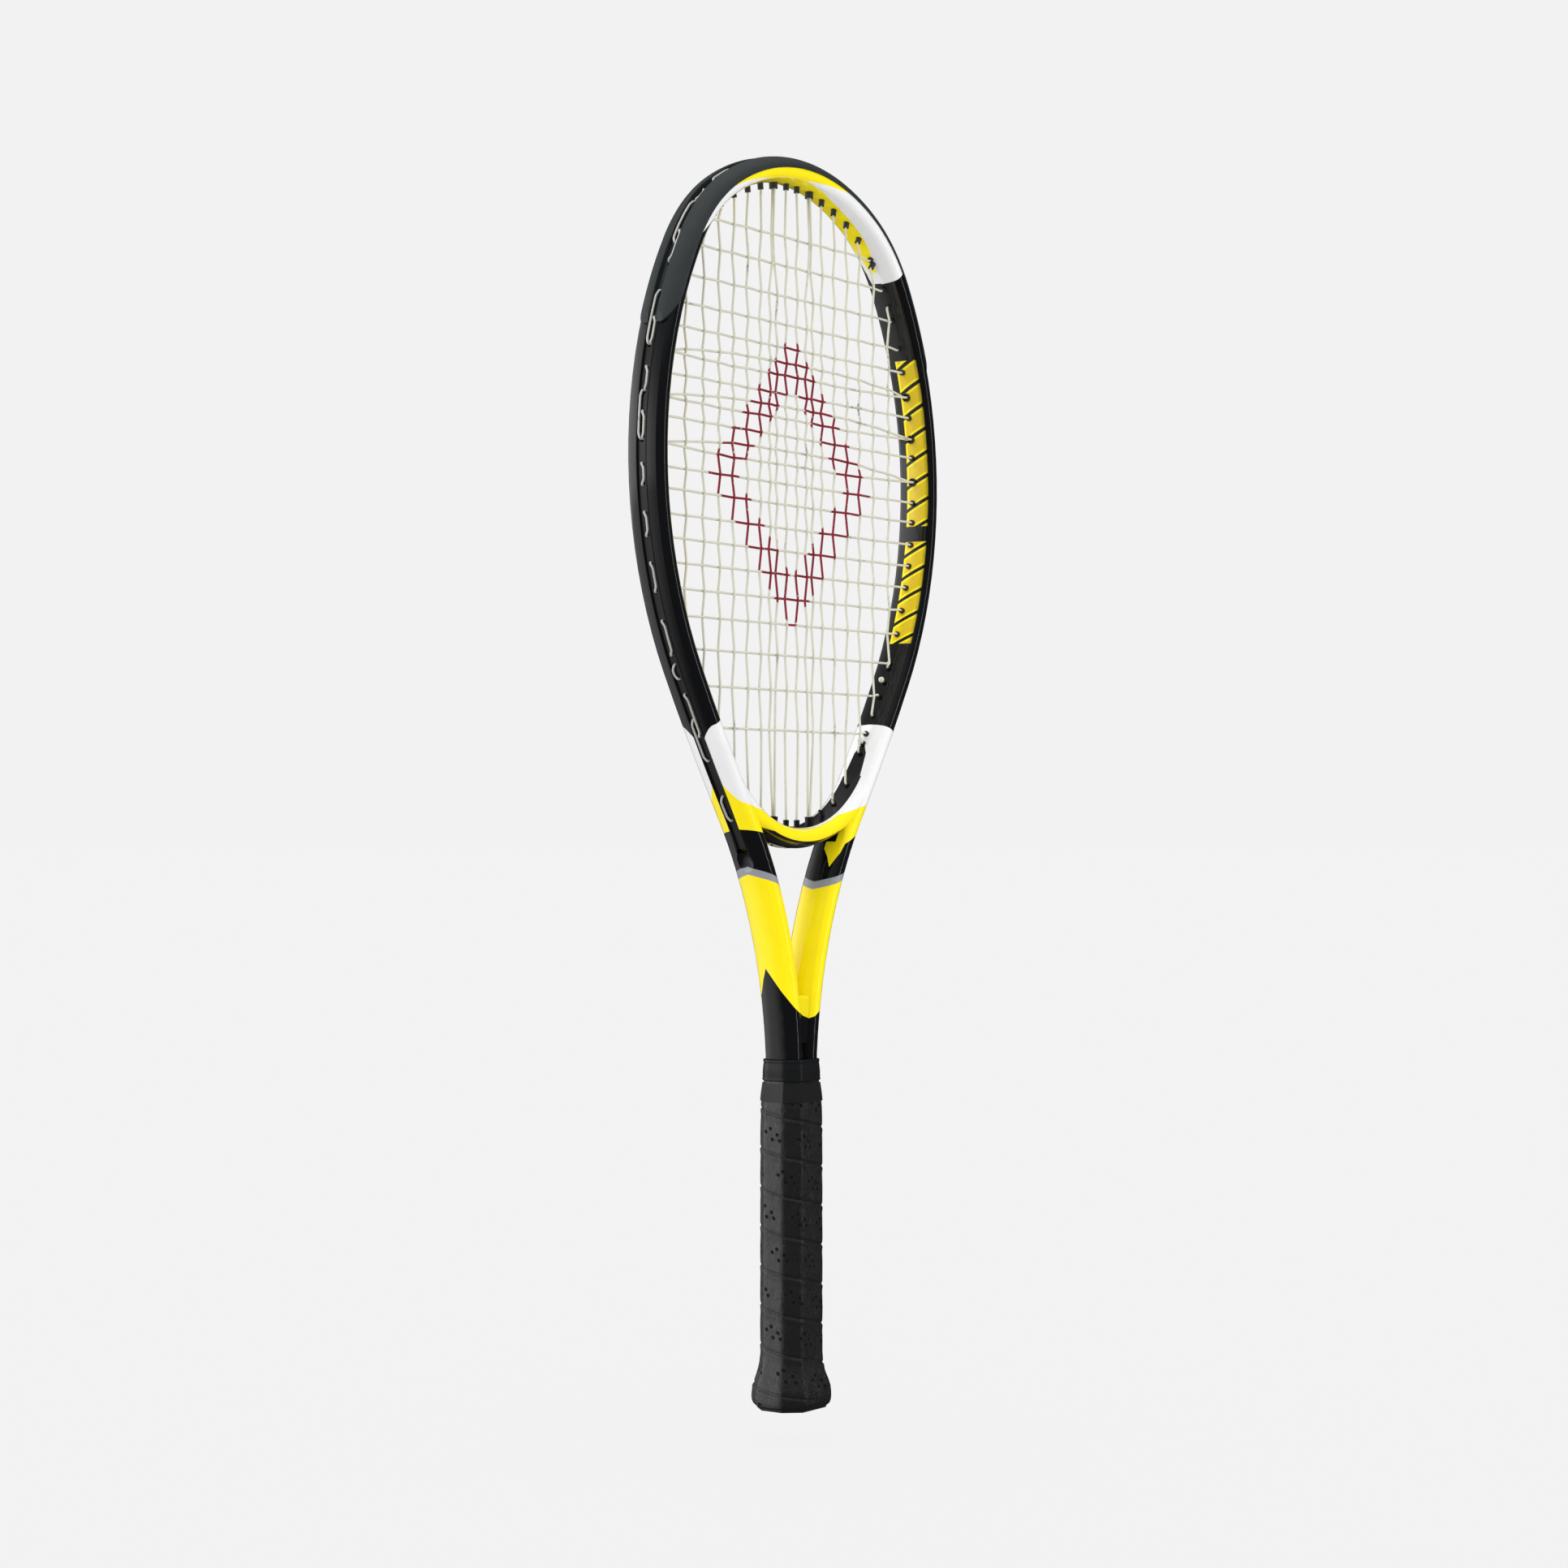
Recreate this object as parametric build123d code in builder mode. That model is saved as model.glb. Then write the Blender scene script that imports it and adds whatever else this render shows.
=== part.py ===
from build123d import *
import os
from math import asin, cos, degrees, hypot, pi, radians, sin, sqrt, tan

# Tennis racket, millimetres. +Z runs from the butt to the head, X is the width of the head
# and Y is the beam, so the string bed lies in the plane Y = 0. The origin is the middle of
# the butt end.

# ---------------------------------------------------------------- driving dimensions
overall_length = 685.8          # 27 in
guard_height = 1.6              # how far the bumper guard stands proud of the frame
frame_half_width = 6.0          # half of the tube across the plane of the strings
frame_half_beam = 11.75         # half of the tube along Y
edge_radius = 4.8               # rounding of the tube's front and back edges
open_side = 9.0                 # cuts into the outer face start clear of the tube, this far out

# The centreline of one half of the tube, from the top of the hoop down to the handle:
# (radius, turn in degrees) of arcs that follow each other without a corner.
hoop_arcs = [(126.0, 30.9), (90.5, 29.1), (229.0, 59.5), (1075.0, 4.1)]
fork_radius = 260.0             # the arm curves back the other way, into the shaft
shaft_half_pitch = 6.7          # half of the distance between the two tubes in the shaft
# Further sections of the tube and of the hollow inside it, as (half width, half beam, edge
# radius): the arms swell on their way to the shaft, and the legs draw in inside the handle.
arm_size, arm_bore_size = (7.5, 11.6, 5.6), (5.9, 10.0, 4.4)
shaft_size, shaft_bore_size = (6.9, 11.0, 5.2), (5.4, 9.5, 4.0)
leg_size, leg_bore_size = (5.1, 8.6, 4.2), (3.7, 7.2, 3.0)
leg_half_pitch = 5.0
leg_foot = 14.0                 # height of the open ends of the legs
leg_shoulder = 168.0            # below this height the legs run straight

groove_depth = 1.8
scoop_radius = 9.5              # the groove runs out into a round hollow at each end
scoop_depth = 1.6
scoop_surface = 6.35            # half of the arm's width where the hollow is
groove_half_width = 3.45
groove_foot_turn = 4.6          # the groove runs this far down each arm's bend, in degrees
hoop_bore_size = (3.8, 10.2, 3.2)
bore_shift = -0.85              # it sits towards the strings, to leave a floor under the groove

bridge_radius = 78.5            # the bridge carries the hoop's curve across the throat
bridge_half_width = 5.8
bridge_half_beam = 11.4
bridge_edge_radius = 4.6
bridge_reach = 35.0             # strings nearer the middle than this pass through the bridge
bridge_groove_depth = 1.6
bridge_groove_half_width = 2.95
bridge_strip_turn = 23.5        # half of the bridge's grommet strip, in degrees
bridge_tip = 347.0              # the bridge's ends thin out along the hoop and stop at this height

string_radius = 0.65
weave = 0.79                    # how far a string stands off the plane where it crosses another
shared_step = 0.72              # half of the distance between two strings in a shared hole
side_step = 1.6                 # how far a loop runs from the middle of the groove
string_lift = 5.95              # a loop's distance from the tube's centreline
sag = 2.2                       # shared crosses sink this much towards the side of the head
knot_radius = 1.7
# A string's bends: where it passes another, at a barrel's tip and its exit, and in a loop.
weave_radius, tip_radius, exit_radius, loop_radius = 1.6, 1.6, 1.2, 4.0
strip_floor = 5.0               # the top face of a grommet strip, from the centreline
strip_gap = 0.05                # between a strip and the bottom of the groove
strip_half_width = 3.35
strip_lane_half_width = 2.75    # the strip between its two rims, which the strings run along
bridge_strip_half_width = 2.85
bridge_lane_half_width = 2.25
rim_foot, rim_top, rim_thickness = 4.4, 6.2, 0.6
barrel_bore = 1.02
barrel_wall = 0.6
barrel_clearance = 0.1
shared_bore = 1.75              # a barrel that holds two strings
top_barrel_tip = 3.4            # how far a barrel stands proud inside the hoop
side_barrel_tip = 1.3

# Half of the main strings, from the middle outwards, and all crosses from the top down.
main_offsets = [5.1, 13.9, 20.1, 29.0, 40.8, 53.5, 66.0, 79.9, 95.5]
cross_heights = [642.5, 626.7, 609.8, 594.4, 581.6, 573.2, 566.3, 555.9, 549.0, 542.5, 532.9, 524.8,
                 517.1, 506.6, 495.2, 482.1, 469.6, 456.8, 443.3, 429.3, 412.2, 393.0, 371.0]
shared_crosses = [(6, 7), (9, 10), (12, 13)]
# The order in which one string runs through the holes, and the side of the groove, in Y,
# that the strings of a shared hole keep to.
main_order = [1, 2, 3, 4, 5, 6, 7, 9, 8, 10, 11, 13, 12, 14, 15, 16, 17, 18]
cross_order = [23, 22, 21, 20, 19, 18, 17, 16, 15, 14, 13, 11, 12, 10, 8, 9, 7, 5, 6, 4, 3, 2, 1]
main_side = {7: 1, 8: -1, 11: 1, 12: -1}
cross_side = {6: 1, 7: -1, 9: -1, 10: 1, 12: 1, 13: -1}

guard_turn = 73.5               # the bumper guard reaches this far round from the top, in degrees
guard_skirt = 12.3              # half of the guard's reach along Y
guard_lane_half_width = 2.8     # the slot that the strings run along
guard_lane_drop = 0.6           # its floor, under the top faces of the other strips
skirt_start = 597.5             # the skirts round off from this height down to the guard's ends
skirt_length = 18.0
guard_tip_height = 0.7          # how far the thinned ends stand proud of the frame
guard_tip_slope = 7.4           # and the slope of their thinning, in degrees
strip_foot_turn = 4.0           # the side strips run this far down each arm's bend, in degrees

# The grip's outer octagon: (height, half size in X, half size in Y) from the butt upwards. The
# flats that face X and Y keep these shares of the half sizes.
grip_levels = [(2.0, 20.3, 17.3), (6.0, 21.5, 18.5), (12.0, 21.3, 18.3), (18.6, 19.1, 16.1),
               (24.0, 17.8, 14.8), (30.0, 17.25, 14.25), (150.0, 17.2, 14.2), (165.0, 16.9, 14.0),
               (172.0, 16.3, 13.5), (178.0, 15.4, 12.8), (182.0, 14.9, 12.3)]
cap_levels = [(0.0, 18.4, 15.4), (2.0, 19.2, 16.2), (6.0, 20.0, 17.0), (12.0, 19.7, 16.7),
              (18.6, 17.5, 14.5), (24.0, 16.6, 13.6), (27.0, 16.4, 13.4)]
flat_x_share, flat_y_share = 0.44, 0.585
pallet_half_x, pallet_half_y = 15.3, 12.3
pallet_top = 170.0
cap_floor = 5.0
door_x, door_y, door_thickness = 22.0, 17.0, 2.0
door_clearance = 0.35
door_recess = 0.4               # how far the door sits inside the butt end
door_flange = 3.0               # how much larger the door is than its plug
door_wall = 1.2                 # thickness of the plug's wall
door_corner, plug_corner = 2.7, 1.7
plug_top = 8.0
nail_slot, nail_slot_y, nail_slot_top = (8.0, 1.6, 0.7), -5.2, 1.6
staple_height = 25.0
staple_x = 16.15                # the staple's bar lies on the outside of the cap's wall
staple_leg, staple_span, staple_wire = 6.0, 8.0, 0.5
tack_height, tack_face = 10.0, 17.2
tack_head_radius, tack_pin_radius, tack_head, tack_length = 2.5, 0.6, 0.5, 3.6
# Openings with rounded corners, as (size in X, size in Y, corner radius).
pallet_pocket = (21.0, 17.8, 3.0)
grip_mouth = (27.8, 22.6, 8.0)
collar_mouth = (29.0, 23.4, 8.4)
tape_levels = [(168.0, 16.66, 13.8), (172.0, 16.3, 13.5), (178.0, 15.4, 12.8)]
tape_thickness = 0.25
collar_low, collar_top = 179.2, 191.0
collar_step = 182.4             # the collar's seat on the top edge of the grip
collar_levels = [(collar_low, 16.1, 13.4), (collar_step, 15.9, 13.2), (collar_top, 15.6, 12.9)]
collar_seat_x, collar_seat_y = 15.45, 12.85
collar_lip_radius = 0.5
filler_low, filler_top = 200.0, 226.0
filler_x, filler_y, filler_round = 22.0, 17.0, 3.0

os.makedirs("parts", exist_ok=True)


# ---------------------------------------------------------------- the tube's centreline
def advance(x, z, heading, radius, turn):
    """The end of an arc, with the heading measured from +X towards -Z and the turn positive
    towards -Z."""
    side = 1 if turn > 0 else -1
    new = heading + turn
    return (x + side * radius * (sin(new) - sin(heading)),
            z + side * radius * (cos(new) - cos(heading)), new)


hoop_top = overall_length - guard_height - frame_half_width
stations = []                   # points along one half: x, z, heading
nodes = [(0.0, hoop_top, 0.0)]
for arc_radius, arc_turn in hoop_arcs:
    x0, z0, h0 = nodes[-1]
    steps = max(2, int(arc_radius * radians(arc_turn)))
    stations += [advance(x0, z0, h0, arc_radius, radians(arc_turn) * i / steps) for i in range(steps)]
    nodes.append(advance(x0, z0, h0, arc_radius, radians(arc_turn)))
arm_x, arm_z, arm_heading = nodes[-1]
fork_turn = arm_heading - pi / 2
arm_straight = (arm_x - shaft_half_pitch - fork_radius * (1 - cos(fork_turn))) / sin(fork_turn)
bend_x = arm_x - arm_straight * sin(fork_turn)
bend_z = arm_z - arm_straight * cos(fork_turn)
stations += [(arm_x - t * sin(fork_turn), arm_z - t * cos(fork_turn), arm_heading)
             for t in range(int(arm_straight))]
fork_steps = int(fork_radius * fork_turn)
stations += [advance(bend_x, bend_z, arm_heading, fork_radius, -fork_turn * i / fork_steps)
             for i in range(fork_steps + 1)]
shaft_x, shaft_z, _ = stations[-1]


def outward(heading):
    return sin(heading), cos(heading)


def frame_offset(x, z):
    """Signed distance of a point from the centreline of the half at +X, outwards positive."""
    sx, sz, heading = min(stations, key=lambda s: (s[0] - x) ** 2 + (s[1] - z) ** 2)
    nx, nz = outward(heading)
    return (x - sx) * nx + (z - sz) * nz, heading


def section_plane(x, z, heading):
    """A plane across the tube: its x axis points outwards, and its normal along the tube."""
    nx, nz = outward(heading)
    return Plane(origin=(x, 0, z), x_dir=(nx, 0, nz), z_dir=(cos(heading), 0, -sin(heading)))


def oval(half_width, half_beam, radius, shift=0.0):
    """A flattened tube section: crowned faces joined to tight round edges."""
    reach = half_beam - radius
    crown = (half_width ** 2 + reach ** 2 - radius ** 2) / (2 * (half_width - radius))
    turn = degrees(asin(reach / (crown - radius)))
    with BuildSketch(mode=Mode.PRIVATE) as shape:
        with BuildLine():
            CenterArc((shift - (crown - half_width), 0), crown, -turn, 2 * turn)
            CenterArc((shift, reach), radius, turn, 180 - 2 * turn)
            CenterArc((shift + (crown - half_width), 0), crown, 180 - turn, 2 * turn)
            CenterArc((shift, -reach), radius, 180 + turn, 180 - 2 * turn)
        make_face()
    return shape.sketch


def hoop_line(foot_turn=0.0):
    """The hoop's centreline on the X-Z plane, from arm to arm. It may run on past the hoop by
    foot_turn degrees of each arm's bend."""
    with BuildLine(Plane.XZ, mode=Mode.PRIVATE) as line:
        start, tangent = (0, hoop_top), (1, 0)
        for radius, turn in hoop_arcs:
            arc = JernArc(start, tangent, radius, -turn)
            start, tangent = arc @ 1, arc % 1
            start, tangent = (start.X, start.Z), (tangent.X, tangent.Z)
        if foot_turn:
            Line(start, (bend_x, bend_z))
            JernArc((bend_x, bend_z), tangent, fork_radius, foot_turn)
        mirror(about=Plane.YZ)
    return line.wire()


def part_of_line(first_turn, last_turn, foot_turn=0.0):
    """The stretch of the +X half between two headings, in degrees; it may run on past the
    hoop by foot_turn degrees of the arm's bend."""
    with BuildLine(Plane.XZ, mode=Mode.PRIVATE) as line:
        heading = 0.0
        x, z = 0.0, hoop_top
        for radius, turn in hoop_arcs:
            low, high = max(first_turn, heading), min(last_turn, heading + turn)
            if high > low + 0.01:
                a = advance(x, z, radians(heading), radius, radians(low - heading) or 1e-12)
                JernArc((a[0], a[1]), (cos(radians(low)), -sin(radians(low))), radius, low - high)
            x, z, _ = advance(x, z, radians(heading), radius, radians(turn))
            heading += turn
        if foot_turn:
            Line((arm_x, arm_z), (bend_x, bend_z))
            JernArc((bend_x, bend_z), (cos(arm_heading), -sin(arm_heading)), fork_radius, foot_turn)
    return line.wire()


total_turn = degrees(arm_heading)

# ---------------------------------------------------------------- frame
def half_tube(arm_shapes, leg_shapes, leg_low):
    """One throat arm and its leg on the +X side: the arm is swept through three sections, then
    the tube draws in and runs straight down inside the handle."""
    with BuildLine(Plane.XZ, mode=Mode.PRIVATE) as arm:
        Line((arm_x, arm_z), (bend_x, bend_z))
        JernArc((bend_x, bend_z), (-sin(fork_turn), -cos(fork_turn)), fork_radius, degrees(fork_turn))
    middle = advance(bend_x, bend_z, arm_heading, fork_radius, -fork_turn / 2)
    planes = [section_plane(arm_x, arm_z, arm_heading), section_plane(*middle),
              section_plane(shaft_x, shaft_z, pi / 2)]
    with BuildPart(mode=Mode.PRIVATE) as tube:
        for plane, shape in zip(planes, arm_shapes):
            with BuildSketch(plane):
                add(shape)
        sweep(path=arm.wire(), multisection=True)
        with BuildSketch(Plane.XY.offset(shaft_z)):
            with Locations((shaft_x, 0)):
                add(leg_shapes[0])
        with BuildSketch(Plane.XY.offset(leg_shoulder)):
            with Locations((leg_half_pitch, 0)):
                add(leg_shapes[1])
        loft()
        with BuildSketch(Plane.XY.offset(leg_low)):
            with Locations((leg_half_pitch, 0)):
                add(leg_shapes[1])
        extrude(amount=leg_shoulder - leg_low)
    return tube.part


def full_tube(hoop_shape, arm_shapes, leg_shapes, leg_low):
    with BuildPart(mode=Mode.PRIVATE) as tube:
        path = hoop_line()
        with BuildSketch(Plane(origin=path @ 0, x_dir=(-sin(arm_heading), 0, cos(arm_heading)),
                               z_dir=path % 0)):
            add(hoop_shape)
        sweep(path=path)
        arm = half_tube(arm_shapes, leg_shapes, leg_low)
        add(arm)
        add(arm.mirror(Plane.YZ))
    return tube.part


hoop_skin = oval(frame_half_width, frame_half_beam, edge_radius)
shaft_skin = oval(*shaft_size)
skin = full_tube(hoop_skin, [hoop_skin, oval(*arm_size), shaft_skin],
                 [shaft_skin, oval(*leg_size)], leg_foot)
hoop_bore = oval(*hoop_bore_size, bore_shift)
shaft_bore = oval(*shaft_bore_size)
leg_bore = oval(*leg_bore_size)
bore = full_tube(hoop_bore, [hoop_bore, oval(*arm_bore_size), shaft_bore],
                 [shaft_bore, leg_bore], leg_foot)


def channel(low, high, half, path, outward_dir):
    """A rectangular bar along a path, between two distances from the tube's centreline."""
    with BuildPart(mode=Mode.PRIVATE) as bar:
        with BuildSketch(Plane(origin=path @ 0, x_dir=outward_dir, z_dir=path % 0)):
            with Locations(((low + high) / 2, 0)):
                Rectangle(high - low, 2 * half)
        sweep(path=path)
    return bar.part


# ---------------------------------------------------------------- bridge centreline
joint_x, joint_z, joint_heading = min(
    (s for s in stations if s[2] > pi / 2 and s[1] > arm_z),
    key=lambda s: abs(s[0] - bridge_radius * sin(s[2])))
bridge_centre = joint_z - bridge_radius * cos(joint_heading)


def bridge_line(half_turn):
    with BuildLine(Plane.XZ, mode=Mode.PRIVATE) as line:
        CenterArc((0, bridge_centre), bridge_radius, -90 - half_turn, 2 * half_turn)
    return line.wire()


def bridge_dir(half_turn):
    """Outwards, away from the hoop, at the -X end of a bridge line."""
    return (-sin(radians(half_turn)), 0, -cos(radians(half_turn)))


# ---------------------------------------------------------------- string holes
# A hole is (tip, exit, tilt): where its barrel ends inside the hoop, where it meets the top
# face of the grommet strip outside, both as (x, z) on the +X side.
def hole_along(x, z, string_dir, normal, proud, depth_at, lean):
    """From the point where a string meets the inner face, out along the face's normal, leant
    towards the string's own direction, until depth_at says that it has reached the strip."""
    ax = lean * string_dir[0] + (1 - lean) * normal[0]
    az = lean * string_dir[1] + (1 - lean) * normal[1]
    size = hypot(ax, az)
    ax, az = ax / size, az / size
    low, high = 0.0, 40.0
    while high - low > 0.001:
        mid = (low + high) / 2
        low, high = (mid, high) if depth_at(x + ax * mid, z + az * mid) < strip_floor else (low, mid)
    return (x - ax * proud, z - az * proud), (x + ax * low, z + az * low)


def tube_depth(x, z):
    return frame_offset(x, z)[0]


def bridge_depth(x, z):
    return hypot(x, z - bridge_centre) - bridge_radius


def bridge_inner_z(x):
    radius = bridge_radius - bridge_half_width
    return bridge_centre - sqrt(max(radius ** 2 - x ** 2, 0.0))


def cross_hole(height):
    sx, sz, heading = min((s for s in stations if s[0] > 60), key=lambda s: abs(s[1] - height))
    normal = outward(heading)
    x = sx - (frame_half_width - (height - sz) * normal[1]) / normal[0]
    lean = 0.5 if -0.25 < normal[1] < 0.35 else 0.1
    return hole_along(x, height, (1, 0), normal, side_barrel_tip, tube_depth, lean)


def top_hole(x):
    sx, sz, heading = min((s for s in stations if s[2] < pi / 2), key=lambda s: abs(s[0] - x))
    normal = outward(heading)
    z = sz - (frame_half_width - (x - sx) * normal[0]) / normal[1]
    proud = top_barrel_tip if x < 90 else side_barrel_tip
    lean = 0.5 if x < 60 else 0.1
    return hole_along(x, z, (0, 1), normal, proud, tube_depth, lean)


def bottom_hole(x):
    if x < bridge_reach:
        z = bridge_inner_z(x)
        normal = (x / bridge_radius, -sqrt(1 - (x / bridge_radius) ** 2))
        return hole_along(x, z, (0, -1), normal, top_barrel_tip, bridge_depth, 0.5)
    sx, sz, heading = min((s for s in stations if s[2] > pi / 2), key=lambda s: abs(s[0] - x))
    normal = outward(heading)
    z = sz - (frame_half_width - (x - sx) * normal[0]) / normal[1]
    if x < joint_x - frame_half_width:
        z = max(z, bridge_inner_z(x))
    return hole_along(x, z, (0, -1), normal, side_barrel_tip, tube_depth, 0.1)


def tie_hole(first, second):
    """A tie-off hole between two others, square to the tube."""
    x, z = (first[0][0] + second[0][0]) / 2, (first[0][1] + second[0][1]) / 2
    depth, heading = frame_offset(x, z)
    normal = outward(heading)
    x, z = x - normal[0] * (depth + frame_half_width), z - normal[1] * (depth + frame_half_width)
    return hole_along(x, z, normal, normal, side_barrel_tip, tube_depth, 0.0)


shared_main = sorted(main_offsets[1:3])
shared_main_x = sum(shared_main) / 2


def main_hole_x(number):
    offset = main_offsets[(9 - number) if number <= 9 else (number - 10)]
    return shared_main_x if number in main_side else offset


def cross_hole_z(number):
    for pair in shared_crosses:
        if number in pair:
            return (cross_heights[pair[0] - 1] + cross_heights[pair[1] - 1]) / 2 - sag
    return cross_heights[number - 1]


top_holes = {n: top_hole(main_hole_x(n)) for n in range(1, 19)}
bottom_holes = {n: bottom_hole(main_hole_x(n)) for n in range(1, 19)}
side_holes = {n: cross_hole(cross_hole_z(n)) for n in range(1, 24)}
tie_main = tie_hole(bottom_holes[1], side_holes[22])
tie_cross_top = tie_hole(side_holes[1], top_holes[3])
tie_cross_bottom = tie_hole(side_holes[23], bottom_holes[3])


def drilled(hole, side, radius, reach=1.5):
    """A pin through a hole, reaching past the strip's top face."""
    (tx, tz), (ex, ez) = hole
    axis = Vector((ex - tx) * side, 0, ez - tz)
    plane = Plane(origin=(tx * side, 0, tz), z_dir=axis)
    with BuildPart(mode=Mode.PRIVATE) as pin:
        with BuildSketch(plane):
            Circle(radius)
        extrude(amount=axis.length + reach)
    return pin.part


def place(hole, side, shared=False):
    return hole, side, shared_bore if shared else barrel_bore


guard_foot_z = min(s[1] for s in stations if degrees(s[2]) < guard_turn)
left_mains, right_mains = range(1, 10), range(10, 19)
all_holes = {"bumper_guard": [], "grommet_strip_left": [], "grommet_strip_right": [],
             "bridge_grommet_strip": []}
for side, mains, strip_name in [(-1, left_mains, "grommet_strip_left"),
                                (1, right_mains, "grommet_strip_right")]:
    for n in mains:
        # both strings of a shared hole give the same barrel, so only one of them is kept
        if n in (8, 11):
            continue
        shared = n in main_side
        all_holes["bumper_guard"].append(place(top_holes[n], side, shared))
        low_strip = "bridge_grommet_strip" if main_hole_x(n) < bridge_reach else strip_name
        all_holes[low_strip].append(place(bottom_holes[n], side, shared))
    for n in range(1, 24):
        if n in (7, 10, 13):
            continue
        name = "bumper_guard" if side_holes[n][1][1] > guard_foot_z + 3 else strip_name
        all_holes[name].append(place(side_holes[n], side, n in cross_side))
all_holes["grommet_strip_left"].append(place(tie_main, -1))
all_holes["grommet_strip_right"].append(place(tie_main, 1))
all_holes["bumper_guard"].append(place(tie_cross_top, -1))
all_holes["grommet_strip_right"].append(place(tie_cross_bottom, 1))

# ---------------------------------------------------------------- frame and bridge
groove_bottom = frame_half_width - groove_depth
left_end_heading = arm_heading - radians(groove_foot_turn)
groove_path = hoop_line(groove_foot_turn)
groove = channel(groove_bottom, open_side, groove_half_width, groove_path,
                 (-sin(left_end_heading), 0, cos(left_end_heading)))

scoop_x, scoop_z, scoop_heading = advance(bend_x, bend_z, arm_heading, fork_radius,
                                          -radians(groove_foot_turn + 1.0))
scoop_out = scoop_surface - scoop_depth + scoop_radius

with BuildPart() as frame:
    add(skin)
    add(bore, mode=Mode.SUBTRACT)
    add(groove, mode=Mode.SUBTRACT)
    for side in (-1, 1):
        with Locations((side * (scoop_x + scoop_out * sin(scoop_heading)), 0,
                        scoop_z + scoop_out * cos(scoop_heading))):
            Sphere(scoop_radius, mode=Mode.SUBTRACT)
    for name in ("bumper_guard", "grommet_strip_left", "grommet_strip_right"):
        for hole, side, bore_radius in all_holes[name]:
            add(drilled(hole, side, bore_radius + barrel_wall + barrel_clearance), mode=Mode.SUBTRACT)
frame.part.label = "frame"
export_step(frame.part, "parts/frame.step")

bridge_turn = degrees(pi - joint_heading)
with BuildPart() as throat_bridge:
    bridge_path = bridge_line(bridge_turn)
    with BuildSketch(Plane(origin=bridge_path @ 0, x_dir=bridge_dir(bridge_turn),
                           z_dir=bridge_path % 0)):
        add(oval(bridge_half_width, bridge_half_beam, bridge_edge_radius))
    sweep(path=bridge_path)
    add(skin, mode=Mode.SUBTRACT)
    with BuildSketch(Plane.XY.offset(bridge_tip)):
        Rectangle(2 * joint_x + 40, 4 * bridge_half_beam)
    extrude(amount=60, mode=Mode.SUBTRACT)
    under_path = bridge_line(bridge_strip_turn + 1)
    add(channel(bridge_half_width - bridge_groove_depth, open_side, bridge_groove_half_width,
                under_path, bridge_dir(bridge_strip_turn + 1)), mode=Mode.SUBTRACT)
    for name in all_holes:
        for hole, side, bore_radius in all_holes[name]:
            if hole[0][1] < joint_z and hole[0][0] < joint_x:
                add(drilled(hole, side, bore_radius + barrel_wall + barrel_clearance),
                    mode=Mode.SUBTRACT)
throat_bridge.part.label = "throat_bridge"
export_step(throat_bridge.part, "parts/throat_bridge.step")

# ---------------------------------------------------------------- guard and grommet strips
def strip_path(name):
    if name == "bumper_guard":
        with BuildLine(Plane.XZ, mode=Mode.PRIVATE) as line:
            add(part_of_line(0.0, guard_turn))
            mirror(about=Plane.YZ)
        return line.wire(), (-sin(radians(guard_turn)), 0, cos(radians(guard_turn)))
    if name == "bridge_grommet_strip":
        return bridge_line(bridge_strip_turn), bridge_dir(bridge_strip_turn)
    turn = radians(guard_turn)
    return part_of_line(guard_turn, total_turn, strip_foot_turn), (sin(turn), 0, cos(turn))


def guard_section():
    """A broad saddle over the outer face, with a skirt over each edge of the tube and a stem
    that fills the groove."""
    crown = frame_half_width + guard_height
    foot, stem = groove_bottom + strip_gap, strip_half_width
    lane_floor = strip_floor - guard_lane_drop
    with BuildSketch(mode=Mode.PRIVATE) as shape:
        with BuildLine():
            Polyline((foot, 0), (foot, stem), (5.85, stem))
            ThreePointArc((5.85, stem), (5.28, 6.6), (4.2, 9.44))
            ThreePointArc((4.2, 9.44), (2.8, 10.96), (0.8, 11.78))
            Line((0.8, 11.78), (0.8, guard_skirt))
            ThreePointArc((0.8, guard_skirt), (3.3, 11.35), (5.2, 9.6))
            ThreePointArc((5.2, 9.6), (6.7, 7.4), (7.45, 5.0))
            Polyline((7.45, 5.0), (crown, 3.6), (crown - 0.3, guard_lane_half_width),
                     (lane_floor, guard_lane_half_width), (lane_floor, 0), (foot, 0))
        make_face()
        mirror(about=Plane.XZ)
    return shape.sketch


def guard_ends():
    """What comes off the guard's ends: the skirts round off, and the saddle thins out."""
    tip_x, tip_z, heading = advance(*nodes[2], hoop_arcs[2][0], radians(guard_turn) - nodes[2][2])
    tip = frame_half_width + guard_tip_height
    slope = heading + radians(guard_tip_slope)
    with BuildPart(mode=Mode.PRIVATE) as cut:
        with BuildSketch(Plane.YZ):
            for side in (-1, 1):
                with Locations((side * (groove_half_width + guard_skirt / 2),
                                skirt_start - skirt_length)):
                    Rectangle(guard_skirt, 2 * skirt_length)
            for side in (-1, 1):
                with Locations((side * groove_half_width, skirt_start)):
                    Ellipse(guard_skirt - groove_half_width, skirt_length, mode=Mode.SUBTRACT)
        extrude(amount=140, both=True)
        for side in (-1, 1):
            with BuildSketch(Plane(origin=(side * (tip_x + tip * sin(heading)), 0,
                                           tip_z + tip * cos(heading)),
                                   x_dir=(0, 1, 0), z_dir=(side * sin(slope), 0, cos(slope)))):
                Rectangle(4 * guard_skirt, 60)
            extrude(amount=12)
    return cut.part


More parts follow.
